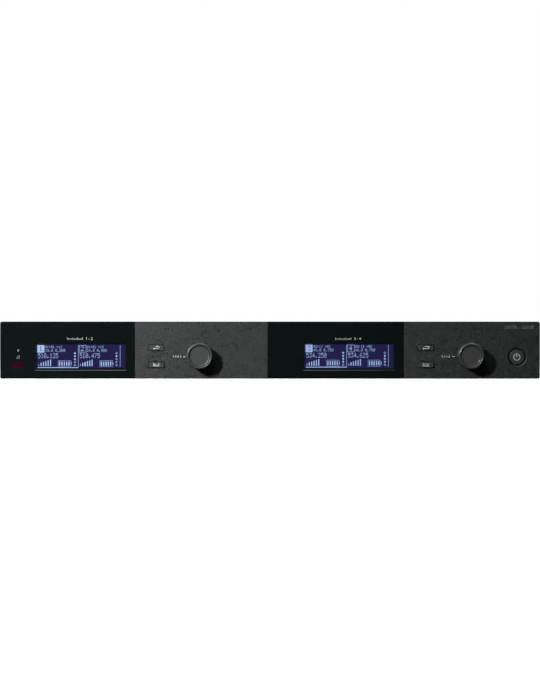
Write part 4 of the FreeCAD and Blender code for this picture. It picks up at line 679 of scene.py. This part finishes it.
class RECEIVER_OT_prints(bpy.types.Operator):
    """Prints the plain numbers and signs of the front"""
    bl_idname = "receiver.prints"
    bl_label = "Front prints"

    def execute(self, context):
        colours, sizes = context.scene.receiver_colours, context.scene.receiver_sizes
        white = finish("print_white", colours.print_white, (0.5, 0.7), tone=0.1, grain=1200,
                       depth=0.000004)
        grey = finish("print_grey", colours.print_grey, (0.5, 0.7), tone=0.2, grain=1500,
                      depth=0.000004)
        thick = sizes.print_thick
        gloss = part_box("window_left")[0].y
        bm = bmesh.new()
        for side, numbers in (("left", "1 - 2"), ("right", "3 - 4")):
            x = middle(f"display_glass_{side}").x
            lettering(bm, numbers, x + 6.2e-3, WINDOW_NUMBERS_Z, 2.0e-3, gloss, thick)
            for step in range(13):
                tick, tall = x + (step * 0.93 - 9.9) * 1e-3, (1.2e-3, 1.9e-3)[step % 4 == 0]
                block(bm, (tick, gloss - thick, TICK_FOOT_Z),
                      (tick + 0.27e-3, gloss + thick, TICK_FOOT_Z + tall))
        show("window_prints", bm, white, "housing")
        bm = bmesh.new()
        port = middle("ir_window").x + 0.2e-3
        plate(bm, around(port, PORT_DIAMOND_Z, 0.95e-3, steps=4), gloss - thick, gloss + thick)
        for x, z in around(port, PORT_CROSS_Z, 0.95e-3, 45, steps=4):
            plate(bm, around(x, z, 0.58e-3, steps=4), gloss - thick, gloss + thick)
        show("port_prints", bm, grey, "housing")
        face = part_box("front_panel")[0].y
        bm = bmesh.new()
        for side, tip in (("left", 13.4e-3), ("right", 15.0e-3)):
            x = middle(f"knob_{side}").x - tip
            for step in range(4):
                plate(bm, chevron(x - step * 1.72e-3, CHEVRON_Z, 0.85e-3, 0.5e-3),
                      face - thick, face + thick)
            block(bm, (x + 1.25e-3, face - thick, DASH_LOW_Z), (x + 3.3e-3, face + thick, DASH_HIGH_Z))
        show("dial_prints", bm, white, "housing")
        bm = bmesh.new()
        lettering(bm, "500.00 - 560.00", 181.6e-3, TOP_LINE_Z, 2.4e-3, face, thick)
        show("band_print", bm, grey, "housing")
        return {"FINISHED"}


class RECEIVER_OT_keys(bpy.types.Operator):
    """Models the four keys, with an arrow sign on each"""
    bl_idname = "receiver.keys"
    bl_label = "Keys"

    def execute(self, context):
        colours, sizes = context.scene.receiver_colours, context.scene.receiver_sizes
        plastic = finish("key_plastic", colours.keys, (0.3, 0.4), tone=0.12, grain=2500,
                         depth=0.00003, spread=0.2)
        white = FINISHES["print_white"]
        for side in SIDES:
            for use, sign in (("exit", self.return_sign), ("sync", self.exchange_sign)):
                node = f"{use}_button_{side}"
                low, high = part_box(node)
                centre = (low + high) / 2
                bm = bmesh.new()
                press_parts(bm, low, high, sizes)
                half = Vector((sizes.key_width / 2, 0, sizes.key_height / 2))
                cushion_block(
                    bm, (centre.x - half.x, low.y, centre.z - half.z),
                    (centre.x + half.x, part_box("front_panel")[0].y + sizes.flange_back
                     - sizes.flange_thick / 2, centre.z + half.z), sizes.key_corner, sizes.key_round)
                show(f"{node}_cap", bm, plastic, BODY_OF[node], [node])
                bm = bmesh.new()
                sign(bm, centre.x, centre.z, low.y - sizes.print_thick, low.y + sizes.print_thick)
                show(f"{node}_sign", bm, white, BODY_OF[node])
        return {"FINISHED"}

    def return_sign(self, bm, x, z, front, back):
        """An arrow to the left, with its shaft bent back over it."""
        shaft, turn = 0.4e-3, (x + 1.4e-3, z + 0.2e-3)
        tip, head, neck, _, _, low_neck, low_head = arrow(x - 2.4e-3, z - 0.55e-3, 1, -1, shaft, 0.85e-3)
        outer, inner = (around(*turn, 0.75e-3 + side * shaft / 2, 0, 180, 12) for side in (1, -1))
        start = (x - 0.8e-3, z + 0.95e-3)
        plate(bm, [tip, head, neck, *inner[::-1], (start[0], start[1] - shaft / 2),
                   (start[0], start[1] + shaft / 2), *outer, low_neck, low_head], front, back)

    def exchange_sign(self, bm, x, z, front, back):
        plate(bm, arrow(x - 2.4e-3, z + 0.65e-3, 4.6e-3, -1, 0.4e-3, 0.75e-3), front, back)
        plate(bm, arrow(x + 2.4e-3, z - 0.65e-3, 4.6e-3, 1, 0.4e-3, 0.75e-3), front, back)


def press_parts(bm, low, high, sizes):
    """The flange and the stem that every key has behind the wall."""
    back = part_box("front_panel")[0].y + sizes.flange_back
    centre = (low + high) / 2
    if abs((high.x - low.x) - (high.z - low.z)) < 1e-5:
        rod(bm, centre.x, centre.z, (high.x - low.x) / 2, back - sizes.flange_thick, back, 96)
    else:
        block(bm, (low.x, back - sizes.flange_thick, low.z), (high.x, back, high.z))
    rod(bm, centre.x, centre.z, sizes.stem_radius, back - sizes.flange_thick / 2, high.y, 32)


class RECEIVER_OT_power(bpy.types.Operator):
    """Models the round power button and its sign"""
    bl_idname = "receiver.power"
    bl_label = "Power button"

    def execute(self, context):
        sizes = context.scene.receiver_sizes
        low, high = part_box("power_button")
        x, z = middle("power_button").x, middle("power_button").z
        bm = bmesh.new()
        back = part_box("front_panel")[0].y + sizes.flange_back - sizes.flange_thick / 2
        cap = rod(bm, x, z, sizes.power_radius, low.y, back, 96)
        rim = [edge for edge in edges_of(cap)
               if all(abs(vert.co.y - low.y) < 1e-7 for vert in edge.verts)]
        round_off(bm, rim, sizes.power_round)
        press_parts(bm, low, high, sizes)
        show("power_cap", bm, FINISHES["key_plastic"], BODY_OF["power_button"],
             ["power_button"])
        bm = bmesh.new()
        front, rear = low.y - sizes.print_thick, low.y + sizes.print_thick
        arc(bm, x, z, 2.25e-3, 0.5e-3, front, rear, 27, 306)
        block(bm, (x - 0.25e-3, front, z + 0.1e-3), (x + 0.25e-3, rear, z + 2.9e-3))
        show("power_sign", bm, FINISHES["print_white"], BODY_OF["power_button"])
        return {"FINISHED"}


class RECEIVER_OT_dials(bpy.types.Operator):
    """Models the two dished dials"""
    bl_idname = "receiver.dials"
    bl_label = "Dials"

    def execute(self, context):
        colours, sizes = context.scene.receiver_colours, context.scene.receiver_sizes
        plastic = finish("dial_plastic", colours.dials, (0.34, 0.4), tone=0.08, grain=2500,
                         depth=0.00001, spread=0.2, speckle=0.05)
        for side in SIDES:
            node = f"knob_{side}"
            low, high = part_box(node)
            x, z = middle(node).x, middle(node).z
            radius, front, back = (high.x - low.x) / 2, low.y, high.y
            inner = radius - sizes.knob_wall
            floor = front + sizes.dish_depth
            face = [(0, floor), (sizes.dish_radius - 0.3e-3, floor), (sizes.dish_radius, floor)]
            dish_bend, dish_rise = sizes.dish_depth * 0.667, sizes.dish_depth * 0.61
            bend(face, dish_bend, 0, 45)
            face.append((face[-1][0] + dish_rise, face[-1][1] - dish_rise))
            bend(face, dish_bend, 45, 0)
            edge = radius - face[-1][0]
            bend(face, edge * 1.085, 0, -40)
            bend(face, edge * 0.846, -40, -90)
            bm = bmesh.new()
            turned(bm, [
                *face,
                (radius, back - 0.3e-3),
                (radius - 0.3e-3, back),
                (inner, back),
                (inner, back - sizes.knob_hollow),
                (sizes.knob_hub, back - sizes.knob_hollow),
                (sizes.knob_hub, back),
                (sizes.shaft_radius, back),
                (sizes.shaft_radius, back - sizes.knob_bore),
                (0, back - sizes.knob_bore),
            ], x, z)
            show(f"dial_{side}", bm, plastic, BODY_OF[node], [node], 40)
        dress(finish("shaft_steel", (0.55, 0.55, 0.56), (0.2, 0.35), metallic=1.0,
                     brush=(9000, 300, 9000, 0.000004)), "encoder_shaft_left", "encoder_shaft_right")
        dress(finish("switch_plastic", (0.03, 0.03, 0.032), (0.4, 0.55), grain=3000),
              *(f"encoder_{part}_{side}" for part in ("body", "plunger") for side in SIDES),
              "button_switches")
        return {"FINISHED"}


class RECEIVER_OT_housing(bpy.types.Operator):
    """Finishes the steel housing and its screws"""
    bl_idname = "receiver.housing"
    bl_label = "Steel housing"

    def execute(self, context):
        colours = context.scene.receiver_colours
        powder = finish("powder_coat", colours.steel, (0.42, 0.58), tone=0.25, grain=1900,
                        depth=0.00005, handling=(9, 0.35))
        dress(powder, "chassis_tray", "top_cover", "rear_panel")
        dress(finish("black_zinc", (0.03, 0.03, 0.03), (0.28, 0.42), metallic=0.8, tone=0.3,
                     grain=4000, brush=(5000, 5000, 900, 0.000003)), "cover_screws", "rear_screws")
        dress(finish("zinc_plate", (0.52, 0.53, 0.55), (0.25, 0.4), metallic=1.0, tone=0.2,
                     grain=3000), "front_screws", "board_screws", "board_standoffs")
        return {"FINISHED"}


class RECEIVER_OT_sockets(bpy.types.Operator):
    """Finishes the rear sockets"""
    bl_idname = "receiver.sockets"
    bl_label = "Rear sockets"

    def execute(self, context):
        nickel = finish("nickel", context.scene.receiver_colours.nickel, (0.18, 0.32), metallic=1.0,
                        tone=0.08, grain=1600, depth=0.000006, handling=(60, 1.0))
        black = finish("socket_plastic", (0.014, 0.014, 0.015), (0.35, 0.5), tone=0.2, grain=3500,
                       depth=0.00001)
        gold = finish("contact_gold", (0.72, 0.50, 0.18), (0.15, 0.28), metallic=1.0, tone=0.08)
        dress(nickel, *(f"xlr_shell_{n}" for n in range(1, 5)), "jack_nuts", "antenna_nuts",
              *(f"{kind}_socket_{end}" for kind in ("antenna", "cascade") for end in "ab"),
              "power_inlet_pins")
        dress(black, *(f"jack_socket_{n}" for n in range(1, 5)), "xlr_inserts", "power_inlet")
        dress(gold, "xlr_pins", "antenna_contacts")
        dress(finish("insulator", (0.78, 0.77, 0.72), (0.3, 0.45), tone=0.05), "antenna_insulators")
        dress(finish("tin_plate", (0.56, 0.56, 0.55), (0.28, 0.45), metallic=1.0, tone=0.12,
                     brush=(500, 7000, 7000, 0.000004)), "network_socket", "tuner_shields")
        return {"FINISHED"}


class RECEIVER_OT_rear_prints(bpy.types.Operator):
    """Prints plain numbers and letters beside the rear sockets"""
    bl_idname = "receiver.rear_prints"
    bl_label = "Rear prints"

    def execute(self, context):
        thick = context.scene.receiver_sizes.print_thick
        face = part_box("rear_panel")[1].y
        bm = bmesh.new()
        for number in range(1, 5):
            shell, jack = middle(f"xlr_shell_{number}").x, middle(f"jack_socket_{number}").x
            lettering(bm, str(number), (shell + jack) / 2, TOP_LINE_Z, 2.4e-3, face, thick, True)
            for x, width in ((shell, 11e-3), (jack, 9e-3)):
                block(bm, (x - width / 2, face - thick, 37.3e-3), (x + width / 2, face + thick, 37.55e-3))
        for end in "ab":
            for kind, height in (("antenna", 2.6e-3), ("cascade", 2.0e-3)):
                x = middle(f"{kind}_socket_{end}").x
                lettering(bm, end.upper(), x, SOCKET_LETTER_Z, height, face, thick, True)
                ring(bm, *(around(x, SOCKET_AXIS_Z, reach, steps=64) for reach in (9.05e-3, 8.75e-3)),
                     face - thick, face + thick)
        show("rear_prints", bm, FINISHES["print_white"], "housing")
        return {"FINISHED"}


class RECEIVER_OT_inner(bpy.types.Operator):
    """Finishes the boards and the parts inside the housing"""
    bl_idname = "receiver.inner"
    bl_label = "Inner parts"

    def execute(self, context):
        dress(finish("solder_mask", (0.010, 0.085, 0.030), (0.25, 0.4), tone=0.25, grain=1200,
                     depth=0.00002, bands=(0.0024, "X", 0.18, (0.02, 0.16, 0.06))),
              "front_board", "main_board", "supply_board")
        dress(finish("ribbon_vinyl", (0.36, 0.37, 0.39), (0.4, 0.5), tone=0.06,
                     bands=(0.00127, "X", 0.16, (0.12, 0.12, 0.13))), "ribbon_cables")
        dress(finish("varnished_core", (0.06, 0.045, 0.035), (0.3, 0.5), metallic=0.3, tone=0.3,
                     bands=(0.0007, "Y", 0.2, (0.02, 0.018, 0.016))), "supply_transformer")
        dress(finish("capacitor_sleeve", (0.012, 0.014, 0.045), (0.2, 0.32), tone=0.1,
                     coat=0.3), "supply_capacitors")
        dress(finish("extruded_aluminium", (0.62, 0.63, 0.64), (0.3, 0.45), metallic=1.0, tone=0.08,
                     brush=(7000, 7000, 250, 0.000008)), "supply_heatsink")
        dress(finish("wire_jacket", (0.012, 0.012, 0.012), (0.4, 0.55), tone=0.2), "inner_wires")
        return {"FINISHED"}


class RECEIVER_PT_panel(bpy.types.Panel):
    """Lists the steps in the sidebar"""
    bl_idname = "RECEIVER_PT_panel"
    bl_label = "Receiver"
    bl_space_type = "VIEW_3D"
    bl_region_type = "UI"
    bl_category = "Receiver"

    def draw(self, context):
        for step in STEPS:
            self.layout.operator(step.bl_idname)
        for group in ("receiver_sizes", "receiver_colours", "receiver_stage"):
            settings = getattr(context.scene, group)
            box = self.layout.box()
            for name in settings.__annotations__:
                box.prop(settings, name)


STEPS = (
    RECEIVER_OT_stage, RECEIVER_OT_front, RECEIVER_OT_displays, RECEIVER_OT_prints,
    RECEIVER_OT_keys, RECEIVER_OT_power, RECEIVER_OT_dials, RECEIVER_OT_housing,
    RECEIVER_OT_sockets, RECEIVER_OT_rear_prints, RECEIVER_OT_inner,
)
GROUPS = {
    "receiver_sizes": ReceiverSizes,
    "receiver_colours": ReceiverColours,
    "receiver_stage": ReceiverStage,
}


def register():
    for group in (*GROUPS.values(), *STEPS, RECEIVER_PT_panel):
        bpy.utils.register_class(group)
    for name, group in GROUPS.items():
        setattr(bpy.types.Scene, name, PointerProperty(type=group))


def unregister():
    for name in GROUPS:
        delattr(bpy.types.Scene, name)
    for group in (RECEIVER_PT_panel, *reversed(STEPS), *GROUPS.values()):
        bpy.utils.unregister_class(group)


def main():
    """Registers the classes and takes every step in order."""
    register()
    build_effects()
    for step in STEPS:
        group, name = step.bl_idname.split(".")
        getattr(getattr(bpy.ops, group), name)()


if __name__ == "__main__":
    main()
